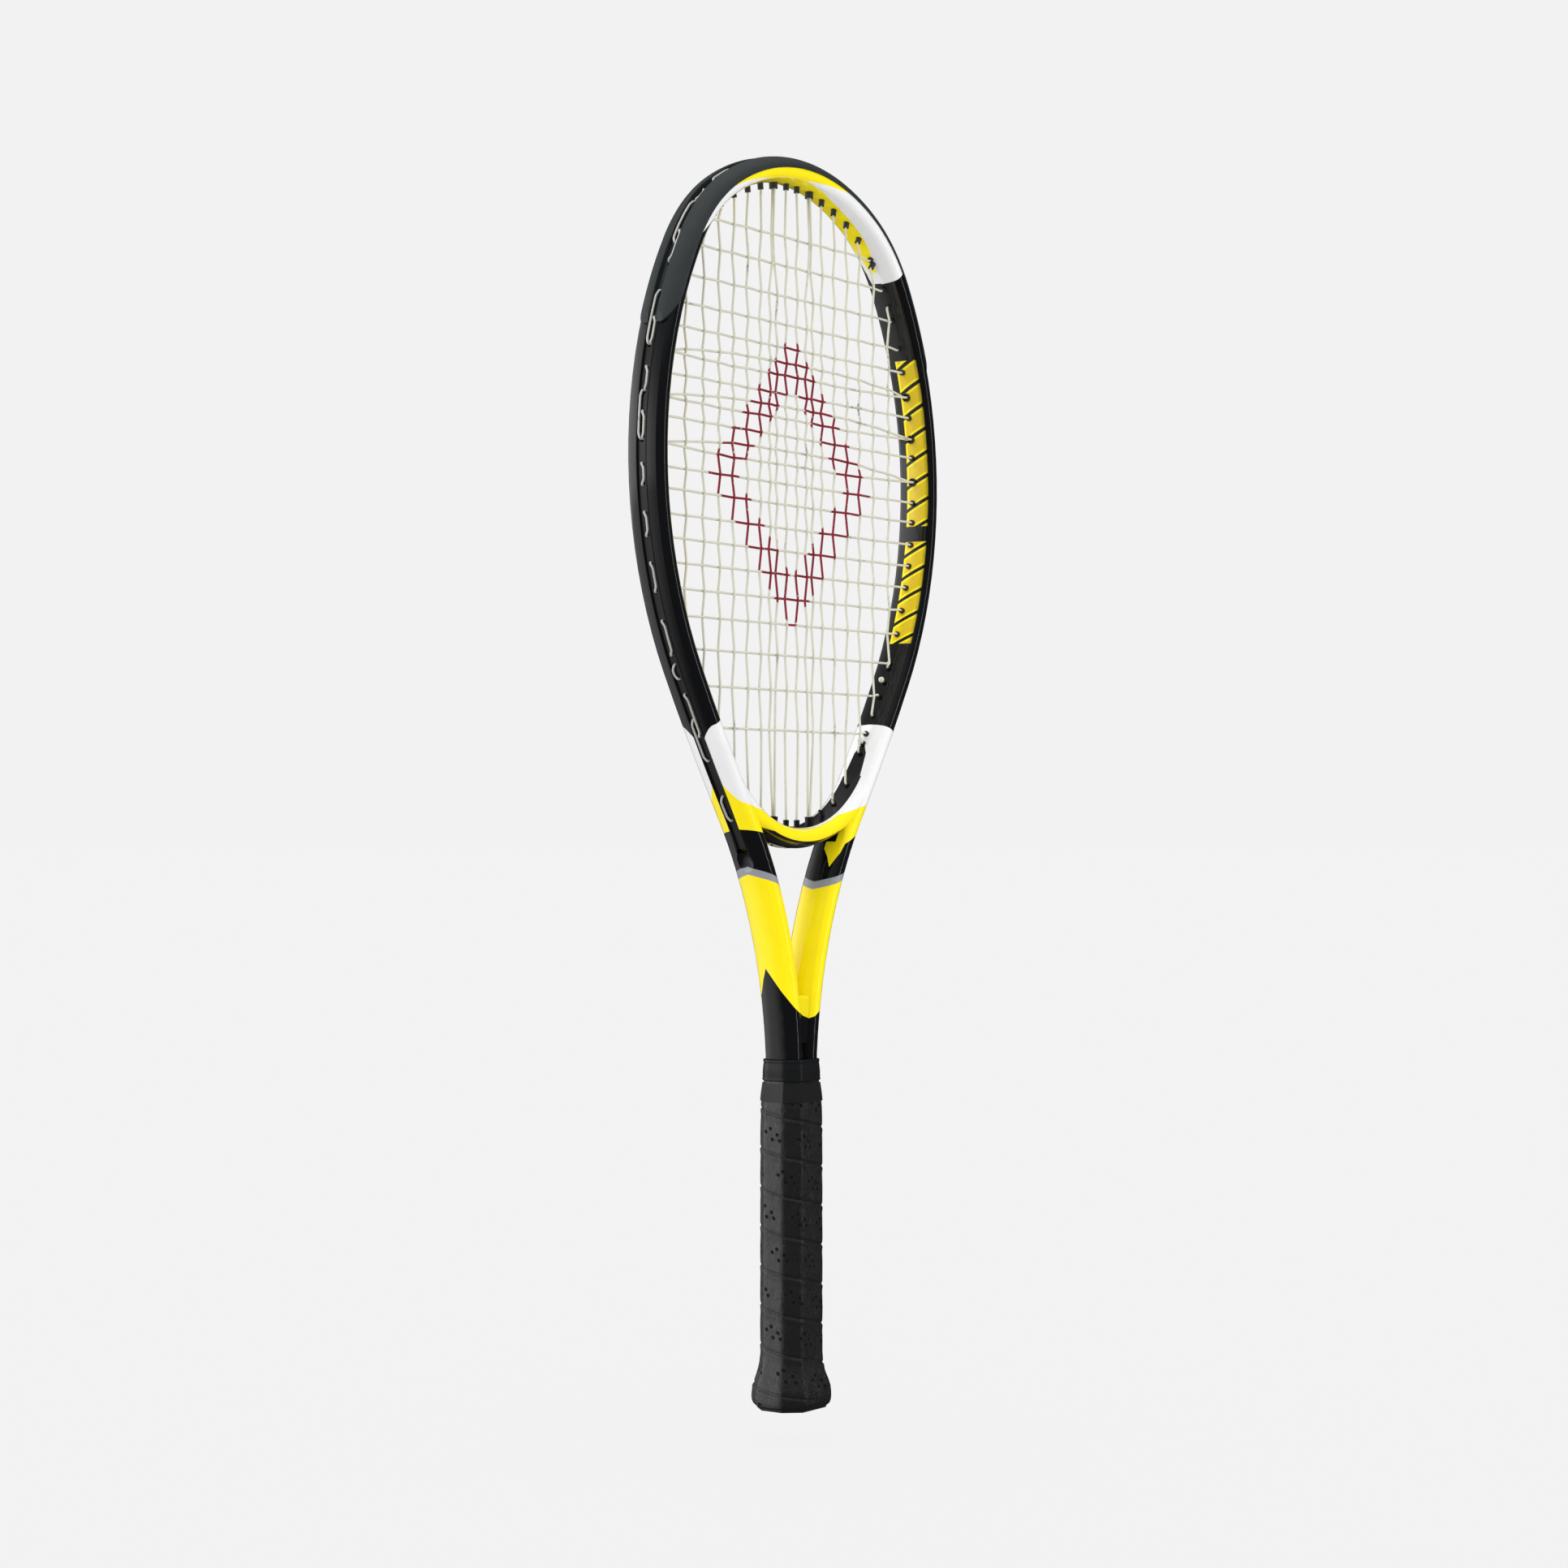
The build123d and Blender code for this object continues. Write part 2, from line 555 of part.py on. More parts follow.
def strip_section(half):
    """A flat strip with a low rim along each edge."""
    foot = groove_bottom + strip_gap
    with BuildSketch(mode=Mode.PRIVATE) as shape:
        with Locations(((foot + strip_floor) / 2, 0)):
            Rectangle(strip_floor - foot, 2 * half)
        for side in (-1, 1):
            with Locations(((rim_foot + rim_top) / 2, side * (half - rim_thickness / 2))):
                Rectangle(rim_top - rim_foot, rim_thickness)
    return shape.sketch


def grommet_strip(name, section, half_channel):
    mirrored = name == "grommet_strip_left"
    path, outward_dir = strip_path("grommet_strip_right" if mirrored else name)
    with BuildPart(mode=Mode.PRIVATE) as base:
        with BuildSketch(Plane(origin=path @ 0, x_dir=outward_dir, z_dir=path % 0)):
            add(section)
        sweep(path=path)
        if name == "bumper_guard":
            add(guard_ends(), mode=Mode.SUBTRACT)
    lane = channel(strip_floor, open_side, half_channel, path, outward_dir)
    if mirrored:
        body, lane = base.part.mirror(Plane.YZ), lane.mirror(Plane.YZ)
    else:
        body = base.part
    with BuildPart() as strip:
        add(body)
        for hole, side, bore_radius in all_holes[name]:
            add(drilled(hole, side, bore_radius + barrel_wall, 0.6))
        add(lane, mode=Mode.SUBTRACT)
        for hole, side, bore_radius in all_holes[name]:
            add(drilled(hole, side, bore_radius), mode=Mode.SUBTRACT)
            (tx, tz), (ex, ez) = hole
            over = Plane(origin=(tx * side, 0, tz), z_dir=Vector((tx - ex) * side, 0, tz - ez))
            with BuildSketch(over):
                Circle(bore_radius)
            extrude(amount=2, mode=Mode.SUBTRACT)
    strip.part.label = name
    export_step(strip.part, "parts/" + name + ".step")
    return strip


bumper_guard = grommet_strip("bumper_guard", guard_section(), guard_lane_half_width)
side_section = strip_section(strip_half_width)
grommet_strip_left = grommet_strip("grommet_strip_left", side_section, strip_lane_half_width)
grommet_strip_right = grommet_strip("grommet_strip_right", side_section, strip_lane_half_width)
bridge_grommet_strip = grommet_strip("bridge_grommet_strip", strip_section(bridge_strip_half_width),
                                     bridge_lane_half_width)


# ---------------------------------------------------------------- strings
def main_x(number, z):
    """Where a main string runs at a height: a pair draws together towards its shared holes."""
    side = -1 if number <= 9 else 1
    if number not in main_side:
        return side * main_hole_x(number)
    reach = min(top_holes[7][0][1] - z, z - bottom_holes[7][0][1])
    spread = min(max((reach - 27.0) / 25.0, 0.0), 1.0)
    gap = shared_step + (shared_main[1] - shared_main_x - shared_step) * spread
    outer = number in (7, 12)
    return side * (shared_main_x + (gap if outer else -gap))


def cross_z(number, x):
    """The height of a cross string at x: a pair draws together towards its shared holes."""
    for pair in shared_crosses:
        if number in pair:
            high, low = cross_heights[pair[0] - 1], cross_heights[pair[1] - 1]
            ramp = min(max((abs(x) - 55.0) / 45.0, 0.0), 1.0)
            gap = (high - low) / 2 * (1 - ramp) + 1.4 * ramp
            middle = (high + low) / 2 - sag * (abs(x) / 118.0) ** 2
            return middle + (gap if number == pair[0] else -gap)
    return cross_heights[number - 1]


def crosses_main(cross, main):
    return abs(main_x(main, cross_z(cross, 0))) < side_holes[cross][0][0] - 0.2


def lift_at(cross, main):
    """+1 where the cross string passes on the +Y side of the main string."""
    twin = {8: 7, 11: 12}
    if cross in (1, 23) and main in twin:
        main = twin[main]
    return 1 if (cross + main) % 2 else -1


def bend_points(hole, side, y):
    """The two bends of a string in a hole: just inside its barrel, and outside on the strip."""
    (tx, tz), (ex, ez) = hole
    length = hypot(ex - tx, ez - tz)
    ux, uz = (ex - tx) / length, (ez - tz) / length
    rise = string_lift - strip_floor
    return ((side * (tx - 0.6 * ux), y, tz - 0.6 * uz), (side * (ex + rise * ux), y, ez + rise * uz))


def loop_points(start, end, side_y, on_bridge):
    """From one hole to the next outside the frame, to one side of the groove's middle."""
    a, b = Vector(*start), Vector(*end)
    span = (b - a).length
    inset = min(3.0, span * 0.33)
    count = max(2, round((span - 2 * inset) / 9.0) + 1)
    points = []
    for i in range(count):
        p = a + (b - a) * ((inset + (span - 2 * inset) * i / (count - 1)) / span)
        side = -1 if p.X < 0 else 1
        if on_bridge:
            away = Vector(p.X, 0, p.Z - bridge_centre)
            p = Vector(0, 0, bridge_centre) + away.normalized() * (bridge_radius + string_lift)
        else:
            depth, heading = frame_offset(abs(p.X), p.Z)
            nx, nz = outward(heading)
            p = p + Vector(nx * side, 0, nz) * (string_lift - depth)
        points.append((p.X, side_y * side_step, p.Z))
    return points


def rounded_route(points, radii):
    """Straight runs joined by tangent arcs, as one wire."""
    corners = [Vector(*p) for p in points]
    edges, last = [], corners[0]
    for before, corner, after, radius in zip(corners, corners[1:], corners[2:], radii[1:]):
        into, out = (corner - before).normalized(), (after - corner).normalized()
        half = radians(into.get_angle(out)) / 2
        if half < 0.002:
            continue
        reach = min(radius * tan(half), 0.45 * (corner - before).length, 0.45 * (after - corner).length)
        start, end = corner - into * reach, corner + out * reach
        middle = corner + (out - into).normalized() * (reach / tan(half) * (1 / cos(half) - 1))
        edges += [Edge.make_line(last, start), Edge.make_three_point_arc(start, middle, end)]
        last = end
    edges.append(Edge.make_line(last, corners[-1]))
    return Wire(edges)


def make_string(name, points, radii):
    path = rounded_route(points, radii)
    with BuildPart() as string:
        with BuildSketch(Plane(origin=path @ 0, z_dir=path % 0)):
            Circle(string_radius)
        sweep(path=path)
    string.part.label = name
    export_step(string.part, "parts/" + name + ".step")
    return string


def thread(order, run_points, ends, families, first_tie, last_tie):
    """One string: run after run, joined by loops outside, with a tie-off hole at each end."""
    points, radii = [], []
    for k, number in enumerate(order):
        inner = run_points(number)
        start, end = ends(number, k % 2 == 0)
        if k == 0:
            points += [first_tie[0], first_tie[1]]
            points += loop_points(first_tie[1], start[1], families(number), False)
            radii += [tip_radius, exit_radius] + [loop_radius] * (len(points) - 2)
        inner = inner if k % 2 == 0 else inner[::-1]
        points += [start[1], start[0]] + inner + [end[0], end[1]]
        radii += [exit_radius, tip_radius] + [weave_radius] * len(inner) + [tip_radius, exit_radius]
        if k + 1 < len(order):
            follower = ends(order[k + 1], (k + 1) % 2 == 0)[0]
            side_y = families(number, order[k + 1])
            on_bridge = end[1][2] < joint_z and abs(end[1][0]) < bridge_reach
            loop = loop_points(end[1], follower[1], side_y, on_bridge)
        else:
            loop = loop_points(end[1], last_tie[1], families(number), False)
            loop += [last_tie[1], last_tie[0]]
        points += loop
        radii += [loop_radius] * len(loop)
    radii[-2:] = [exit_radius, tip_radius]
    return points, radii


def main_run(number):
    """Crossing points from the bottom up."""
    run = []
    for cross in range(23, 0, -1):
        if crosses_main(cross, number):
            x = main_x(number, cross_heights[cross - 1])
            run.append((x, -weave * lift_at(cross, number), cross_z(cross, x)))
    return run


def cross_run(number):
    """Crossing points from +X to -X."""
    height = cross_heights[number - 1]
    run = []
    for main in range(18, 0, -1):
        if crosses_main(number, main):
            x = main_x(main, height)
            run.append((x, weave * lift_at(number, main), cross_z(number, x)))
    return run


def main_ends(number, upward):
    side, y = (-1 if number <= 9 else 1), shared_step * main_side.get(number, 0)
    low, high = bend_points(bottom_holes[number], side, y), bend_points(top_holes[number], side, y)
    return (low, high) if upward else (high, low)


def cross_ends(number, leftward):
    y = shared_step * cross_side.get(number, 0)
    right, left = bend_points(side_holes[number], 1, y), bend_points(side_holes[number], -1, y)
    return (right, left) if leftward else (left, right)


def main_family(*numbers):
    return next((main_side[n] for n in numbers if n in main_side), 1)


def cross_family(*numbers):
    return next((cross_side[n] for n in numbers if n in cross_side), -1)


tie_ends = {"main_start": bend_points(tie_main, -1, 0), "main_end": bend_points(tie_main, 1, 0),
            "cross_start": bend_points(tie_cross_bottom, 1, 0),
            "cross_end": bend_points(tie_cross_top, -1, 0)}
main_string = make_string("main_string", *thread(
    main_order, main_run, main_ends, main_family, tie_ends["main_start"], tie_ends["main_end"]))
cross_string = make_string("cross_string", *thread(
    cross_order, cross_run, cross_ends, cross_family, tie_ends["cross_start"], tie_ends["cross_end"]))

with BuildPart() as string_knots:
    for inside, outside in tie_ends.values():
        away = (Vector(*inside) - Vector(*outside)).normalized()
        with Locations(Vector(*inside) + away * (knot_radius - 0.5)):
            Sphere(knot_radius)
string_knots.part.label = "string_knots"
export_step(string_knots.part, "parts/string_knots.step")

# ---------------------------------------------------------------- shaft, legs and handle
with BuildPart() as fork_filler:
    with BuildSketch(Plane.XY.offset(filler_low)):
        Rectangle(filler_x, filler_y)
    extrude(amount=filler_top - filler_low)
    fillet(fork_filler.faces().sort_by(Axis.Z)[-1].edges().filter_by(Axis.X), filler_round)
    add(skin, mode=Mode.SUBTRACT)
fork_filler.part.label = "fork_filler"
export_step(fork_filler.part, "parts/fork_filler.step")

with BuildPart() as leg_plugs:
    with BuildSketch(Plane.XY.offset(leg_foot + 0.5)):
        with Locations((leg_half_pitch, 0), (-leg_half_pitch, 0)):
            add(leg_bore)
    extrude(amount=16)
leg_plugs.part.label = "leg_plugs"
export_step(leg_plugs.part, "parts/leg_plugs.step")


def octagon(half_x, half_y):
    flat_x, flat_y = half_y * flat_x_share, half_x * flat_y_share
    with BuildSketch(mode=Mode.PRIVATE) as shape:
        with BuildLine():
            Polyline((half_x, flat_x), (flat_y, half_y), (-flat_y, half_y), (-half_x, flat_x),
                     (-half_x, -flat_x), (-flat_y, -half_y), (flat_y, -half_y), (half_x, -flat_x),
                     close=True)
        make_face()
    return shape.sketch


def octagon_loft(levels, grow=0.0):
    with BuildPart(mode=Mode.PRIVATE) as body:
        for height, half_x, half_y in levels:
            with BuildSketch(Plane.XY.offset(height)):
                add(octagon(half_x + grow, half_y + grow))
        loft(ruled=True)
    return body.part


def octagon_bar(half_x, half_y, low, high):
    return octagon_loft([(low, half_x, half_y), (high, half_x, half_y)])


def rounded_bar(size_x, size_y, radius, low, high):
    with BuildPart(mode=Mode.PRIVATE) as bar:
        with BuildSketch(Plane.XY.offset(low)):
            RectangleRounded(size_x, size_y, radius)
        extrude(amount=high - low)
    return bar.part


with BuildPart() as butt_cap_staples:
    for side in (-1, 1):
        leg_x = side * (staple_x + 0.3 - staple_leg / 2)
        leg_y = (staple_span - staple_wire) / 2
        with BuildSketch(Plane.XY.offset(staple_height - 0.5)):
            with Locations((side * staple_x, 0)):
                Rectangle(0.6, staple_span)
            with Locations((leg_x, leg_y), (leg_x, -leg_y)):
                Rectangle(staple_leg, staple_wire)
        extrude(amount=1.0)
butt_cap_staples.part.label = "butt_cap_staples"
export_step(butt_cap_staples.part, "parts/butt_cap_staples.step")

with BuildPart() as grip_tack:
    with BuildSketch(Plane.XZ.offset(-tack_face)):
        with Locations((0, tack_height)):
            Circle(tack_head_radius)
    extrude(amount=-tack_head)
    with BuildSketch(Plane.XZ.offset(-tack_face)):
        with Locations((0, tack_height)):
            Circle(tack_pin_radius)
    extrude(amount=tack_length)
grip_tack.part.label = "grip_tack"
export_step(grip_tack.part, "parts/grip_tack.step")

with BuildPart() as handle_pallet:
    add(octagon_bar(pallet_half_x, pallet_half_y, cap_floor, pallet_top))
    add(skin, mode=Mode.SUBTRACT)
    add(rounded_bar(*pallet_pocket, cap_floor, leg_foot), mode=Mode.SUBTRACT)
    add(leg_plugs.part, mode=Mode.SUBTRACT)
    add(butt_cap_staples.part, mode=Mode.SUBTRACT)
handle_pallet.part.label = "handle_pallet"
export_step(handle_pallet.part, "parts/handle_pallet.step")

with BuildPart() as butt_cap:
    add(octagon_loft(cap_levels))
    add(octagon_bar(pallet_half_x, pallet_half_y, cap_floor, 40), mode=Mode.SUBTRACT)
    gap = 2 * door_clearance
    seat_top = door_recess + door_thickness + door_clearance
    add(rounded_bar(door_x + gap, door_y + gap, door_corner + 0.3, -1, seat_top),
        mode=Mode.SUBTRACT)
    add(rounded_bar(door_x - door_flange + gap, door_y - door_flange + gap, plug_corner + 0.3, 0,
                    cap_floor + 1), mode=Mode.SUBTRACT)
    add(butt_cap_staples.part, mode=Mode.SUBTRACT)
    add(grip_tack.part, mode=Mode.SUBTRACT)
butt_cap.part.label = "butt_cap"
export_step(butt_cap.part, "parts/butt_cap.step")

with BuildPart() as trap_door:
    plug_x, plug_y = door_x - door_flange, door_y - door_flange
    add(rounded_bar(door_x, door_y, door_corner, door_recess, door_recess + door_thickness))
    add(rounded_bar(plug_x, plug_y, plug_corner, door_recess, plug_top))
    add(rounded_bar(plug_x - 2 * door_wall, plug_y - 2 * door_wall, 1.0,
                    door_recess + door_thickness, plug_top + 1), mode=Mode.SUBTRACT)
    # a nail slot to pull it by
    add(rounded_bar(*nail_slot, 0, nail_slot_top).moved(Location((0, nail_slot_y, 0))),
        mode=Mode.SUBTRACT)
trap_door.part.label = "trap_door"
export_step(trap_door.part, "parts/trap_door.step")

with BuildPart() as grip_sleeve:
    add(octagon_loft(grip_levels))
    add(octagon_loft(cap_levels), mode=Mode.SUBTRACT)
    add(octagon_bar(pallet_half_x, pallet_half_y, cap_floor, pallet_top), mode=Mode.SUBTRACT)
    add(rounded_bar(*grip_mouth, pallet_top - 1, collar_top), mode=Mode.SUBTRACT)
    add(grip_tack.part, mode=Mode.SUBTRACT)
grip_sleeve.part.label = "grip_sleeve"
export_step(grip_sleeve.part, "parts/grip_sleeve.step")

with BuildPart() as finishing_tape:
    add(octagon_loft(tape_levels, tape_thickness))
    add(octagon_loft(grip_levels), mode=Mode.SUBTRACT)
    add(rounded_bar(*grip_mouth, pallet_top - 10, collar_top), mode=Mode.SUBTRACT)
    add(octagon_bar(pallet_half_x, pallet_half_y, cap_floor, pallet_top), mode=Mode.SUBTRACT)
finishing_tape.part.label = "finishing_tape"
export_step(finishing_tape.part, "parts/finishing_tape.step")

with BuildPart() as grip_collar:
    add(octagon_loft(collar_levels))
    fillet(grip_collar.faces().sort_by(Axis.Z)[-1].edges(), collar_lip_radius)
    add(octagon_bar(collar_seat_x, collar_seat_y, collar_low - 1, collar_step), mode=Mode.SUBTRACT)
    add(rounded_bar(*collar_mouth, collar_low, collar_top + 1), mode=Mode.SUBTRACT)
grip_collar.part.label = "grip_collar"
export_step(grip_collar.part, "parts/grip_collar.step")
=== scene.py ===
from math import cos, hypot, pi, radians, sin

import bmesh
import bpy
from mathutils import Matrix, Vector


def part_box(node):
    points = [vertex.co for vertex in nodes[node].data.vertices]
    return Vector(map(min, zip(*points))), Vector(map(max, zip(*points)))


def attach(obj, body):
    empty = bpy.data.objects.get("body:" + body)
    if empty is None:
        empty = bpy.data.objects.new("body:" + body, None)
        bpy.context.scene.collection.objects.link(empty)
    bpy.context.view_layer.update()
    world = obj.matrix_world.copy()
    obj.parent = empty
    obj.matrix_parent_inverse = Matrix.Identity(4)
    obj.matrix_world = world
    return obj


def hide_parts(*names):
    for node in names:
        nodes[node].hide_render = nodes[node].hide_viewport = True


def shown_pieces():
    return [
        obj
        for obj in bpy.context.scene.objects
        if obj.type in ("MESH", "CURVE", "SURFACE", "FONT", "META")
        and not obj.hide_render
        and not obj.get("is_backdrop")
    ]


# A tennis racket that stands on its butt. Lengths inside the materials and the wrap are in
# millimetres; objects are in metres.
MM = 0.001

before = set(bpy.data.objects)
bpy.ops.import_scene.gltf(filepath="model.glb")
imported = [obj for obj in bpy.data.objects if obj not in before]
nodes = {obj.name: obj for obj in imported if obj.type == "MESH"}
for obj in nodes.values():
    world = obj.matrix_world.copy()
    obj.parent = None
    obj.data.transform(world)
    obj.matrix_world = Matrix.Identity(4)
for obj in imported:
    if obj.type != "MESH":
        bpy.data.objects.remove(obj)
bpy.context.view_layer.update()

# ---------------------------------------------------------------- the frame's centreline
# Radius and turn in degrees of the hoop's arcs, from the top down one side, and the bend of
# the arms into the shaft.
HOOP_ARCS = [(126.0, 30.9), (90.5, 29.1), (229.0, 59.5), (1075.0, 4.1)]
FORK_RADIUS, SHAFT_X, SHAFT_Z = 260.0, 6.7, 178.86
BRIDGE_RADIUS = 78.5
BRIDGE_HALF_WIDTH = 5.8
TUBE_HALF_WIDTH, TUBE_HALF_BEAM = 6.0, 11.75

hoop_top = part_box("frame")[1].z / MM - TUBE_HALF_WIDTH
arc_circles, arc_ends = [], [(0.0, hoop_top, 0.0)]
for arc_radius, turn in HOOP_ARCS:
    x, z, heading = arc_ends[-1]
    cx, cz = x - arc_radius * sin(heading), z - arc_radius * cos(heading)
    heading += radians(turn)
    arc_circles.append((cx, cz, arc_radius))
    arc_ends.append((cx + arc_radius * sin(heading), cz + arc_radius * cos(heading), heading))
bridge_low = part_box("throat_bridge")[0].z / MM
BRIDGE_CENTRE = bridge_low + BRIDGE_HALF_WIDTH + BRIDGE_RADIUS


# ---------------------------------------------------------------- fields over a surface
class Field:
    """A number that varies over a surface: a shader socket with arithmetic."""

    def __init__(self, tree, socket):
        self.tree = tree
        self.socket = socket

    def math(self, operation, *others, clamp=False):
        node = self.tree.nodes.new("ShaderNodeMath")
        node.operation = operation
        node.use_clamp = clamp
        for entry, value in zip(node.inputs, (self, *others)):
            if isinstance(value, Field):
                self.tree.links.new(value.socket, entry)
            else:
                entry.default_value = value
        return Field(self.tree, node.outputs[0])

    def __add__(self, other):
        return self.math("ADD", other)

    def __sub__(self, other):
        return self.math("SUBTRACT", other)

    def __mul__(self, other):
        return self.math("MULTIPLY", other)

    def __rsub__(self, other):
        return (self * -1.0) + other

    def __abs__(self):
        return self.math("ABSOLUTE")

    def __or__(self, other):
        return self.math("MAXIMUM", other)

    def __and__(self, other):
        return self.math("MINIMUM", other)

    def __invert__(self):
        return self * -1.0 + 1.0

    __radd__ = __add__
    __rmul__ = __mul__

    def above(self, edge, soft=0.25):
        """1 where the field is over an edge, 0 where it is under, with a soft step."""
        return ((self - edge) * (1.0 / soft)).math("ADD", 0.5, clamp=True)

    def below(self, edge, soft=0.25):
        return ~self.above(edge, soft)

    def between(self, low, high, soft=0.25):
        return self.above(low, soft) & self.below(high, soft)

    def pick(self, inside, outside):
        """inside where this mask is 1, and outside where it is 0."""
        return (inside - outside) * self + outside

    def sign(self):
        return self.math("SIGN")

    def wrap(self, period):
        return self.math("WRAP", 0.0, period)


def hypotenuse(a, b):
    return (a * a + b * b).math("SQRT")


def broken_line(field, points):
    """A piecewise linear function of a field, through the points given."""
    slopes = [(b[1] - a[1]) / (b[0] - a[0]) for a, b in zip(points, points[1:])]
    total = (field | points[0][0]) - points[0][0]
    result = total * slopes[0] + points[0][1]
    for (start, _), before, after in zip(points[1:], slopes, slopes[1:]):
        result = result + ((field - start) | 0.0) * (after - before)
    return result


class Surface:
    """A new material's node tree, with the position in millimetres and its output shader."""

    def __init__(self, name):
        self.material = bpy.data.materials.new(name)
        self.material.use_nodes = True
        self.tree = self.material.node_tree
        self.tree.nodes.clear()
        self.output = self.add("ShaderNodeOutputMaterial")
        self.shader = self.add("ShaderNodeBsdfPrincipled")
        self.tree.links.new(self.shader.outputs[0], self.output.inputs["Surface"])
        self.coordinates = self.add("ShaderNodeTexCoord")
        scale = self.add("ShaderNodeVectorMath")
        scale.operation = "SCALE"
        scale.inputs["Scale"].default_value = 1.0 / MM
        self.tree.links.new(self.coordinates.outputs["Object"], scale.inputs[0])
        self.position = scale.outputs[0]
        self.x, self.y, self.z = self.split(self.position)
        self.bumps = []

    def add(self, kind):
        return self.tree.nodes.new(kind)

    def split(self, vector):
        node = self.add("ShaderNodeSeparateXYZ")
        self.tree.links.new(vector, node.inputs[0])
        return [Field(self.tree, out) for out in node.outputs]

    def set(self, **values):
        for name, value in values.items():
            entry = self.shader.inputs[name.replace("_", " ")]
            if isinstance(value, Field):
                self.tree.links.new(value.socket, entry)
            else:
                entry.default_value = value

    def noise(self, size, detail=3.0, stretch=(1.0, 1.0, 1.0), rough=0.5):
        """Noise from 0 to 1 whose features are size millimetres across."""
        place = self.add("ShaderNodeMapping")
        self.tree.links.new(self.position, place.inputs["Vector"])
        place.inputs["Scale"].default_value = stretch
        node = self.add("ShaderNodeTexNoise")
        self.tree.links.new(place.outputs[0], node.inputs["Vector"])
        node.inputs["Scale"].default_value = 1.0 / size
        node.inputs["Detail"].default_value = detail
        node.inputs["Roughness"].default_value = rough
        return Field(self.tree, node.outputs[0])

    def cells(self, size):
        """Distance from the borders of rounded cells that are size millimetres across."""
        node = self.add("ShaderNodeTexVoronoi")
        node.feature = "DISTANCE_TO_EDGE"
        self.tree.links.new(self.position, node.inputs["Vector"])
        node.inputs["Scale"].default_value = 1.0 / size
        return Field(self.tree, node.outputs[0])

    def blend(self, mask, inside, outside):
        """The colour inside where the mask is 1. A colour is three numbers or a socket."""
        node = self.add("ShaderNodeMix")
        node.data_type = "RGBA"
        for entry, value in ((node.inputs[0], mask.socket), (node.inputs[6], outside),
                             (node.inputs[7], inside)):
            if isinstance(value, bpy.types.NodeSocket):
                self.tree.links.new(value, entry)
            else:
                entry.default_value = (*value, 1.0)
        return node.outputs[2]

    def colour(self, value):
        entry = self.shader.inputs["Base Color"]
        if isinstance(value, bpy.types.NodeSocket):
            self.tree.links.new(value, entry)
        else:
            entry.default_value = (*value, 1.0)

    def bump(self, height, depth):
        """Adds a relief of depth millimetres to the surface and what it already has."""
        node = self.add("ShaderNodeBump")
        node.inputs["Distance"].default_value = depth * MM
        node.inputs["Strength"].default_value = 1.0
        self.tree.links.new(height.socket, node.inputs["Height"])
        if self.bumps:
            self.tree.links.new(self.bumps[-1].outputs[0], node.inputs["Normal"])
        self.bumps.append(node)
        self.tree.links.new(node.outputs[0], self.shader.inputs["Normal"])

    def wear(self, colour, amount=0.12, size=14.0):
        """Slow patches of lighter and darker colour."""
        node = self.add("ShaderNodeHueSaturation")
        if isinstance(colour, bpy.types.NodeSocket):
            self.tree.links.new(colour, node.inputs["Color"])
        else:
            node.inputs["Color"].default_value = (*colour, 1.0)
        value = self.noise(size, 4.0) * (2 * amount) + (1.0 - amount)
        self.tree.links.new(value.socket, node.inputs["Value"])
        return node.outputs[0]


def give(material, *names):
    for name in names:
        slots = nodes[name].data.materials
        slots.clear()
        slots.append(material)


# ---------------------------------------------------------------- paint
BLACK = (0.0042, 0.0045, 0.0052)
YELLOW = (0.95, 0.78, 0.006)
WHITE = (0.80, 0.80, 0.81)
SILVER = (0.27, 0.28, 0.31)
SHADED_YELLOW = (0.817, 0.6708, 0.00516)      # the filler lies in the shade between the arms
BLOCK_TRIM = (0.70, 0.50, 0.010)
UNDERSIDE = (0.010, 0.009, 0.008)
BLOCKS_LOW, BLOCKS_HIGH, BLOCK_PITCH = 424.0, 588.0, 13.4
BLOCKS_GAP = (484.0, 493.0)
CHEVRON_MIDDLE, CHEVRON_RISE, CHEVRON_WIDTH = 292.3, 4.4, 4.3


def lacquer(s, colour):
    """A thick clear coat over paint, with the slight waviness of a sprayed tube."""
    s.colour(s.wear(colour, 0.04, 9.0))
    s.set(Roughness=s.noise(6.0, 2.0) * 0.10 + 0.24)
    s.set(Coat_Weight=1.0, Coat_Roughness=0.035, Coat_IOR=1.5, IOR=1.45, Specular_IOR_Level=0.1)
    s.bump(s.noise(5.5, 2.0), 0.035)
    s.bump(s.noise(0.7, 2.0), 0.0025)


def along_cut(ax, z, end):
    """Distance along the tube past a cut square to it, at the end of a hoop arc."""
    px, pz, heading = end
    return (ax - px) * cos(heading) - (z - pz) * sin(heading)


def hoop_depth(ax, z):
    """Signed distance from the tube's centreline, outwards positive."""
    rings = [hypotenuse(ax - cx, z - cz) - r for cx, cz, r in arc_circles]
    arm = FORK_RADIUS - hypotenuse(ax - (SHAFT_X + FORK_RADIUS), z - SHAFT_Z)
    depth = z.above(arc_ends[3][1]).pick(rings[2], rings[3])
    depth = z.above(arc_ends[2][1]).pick(rings[1], depth)
    depth = (ax.below(arc_ends[1][0]) & z.above(600.0)).pick(rings[0], depth)
    return z.below(322.0).pick(arm, depth)


def shoulder_line(ax):
    """The height where the white foot of the hoop meets the yellow shoulders."""
    return broken_line(ax, [(0.0, 317.0), (26.0, 323.0), (41.0, 327.0), (64.0, 332.5)])


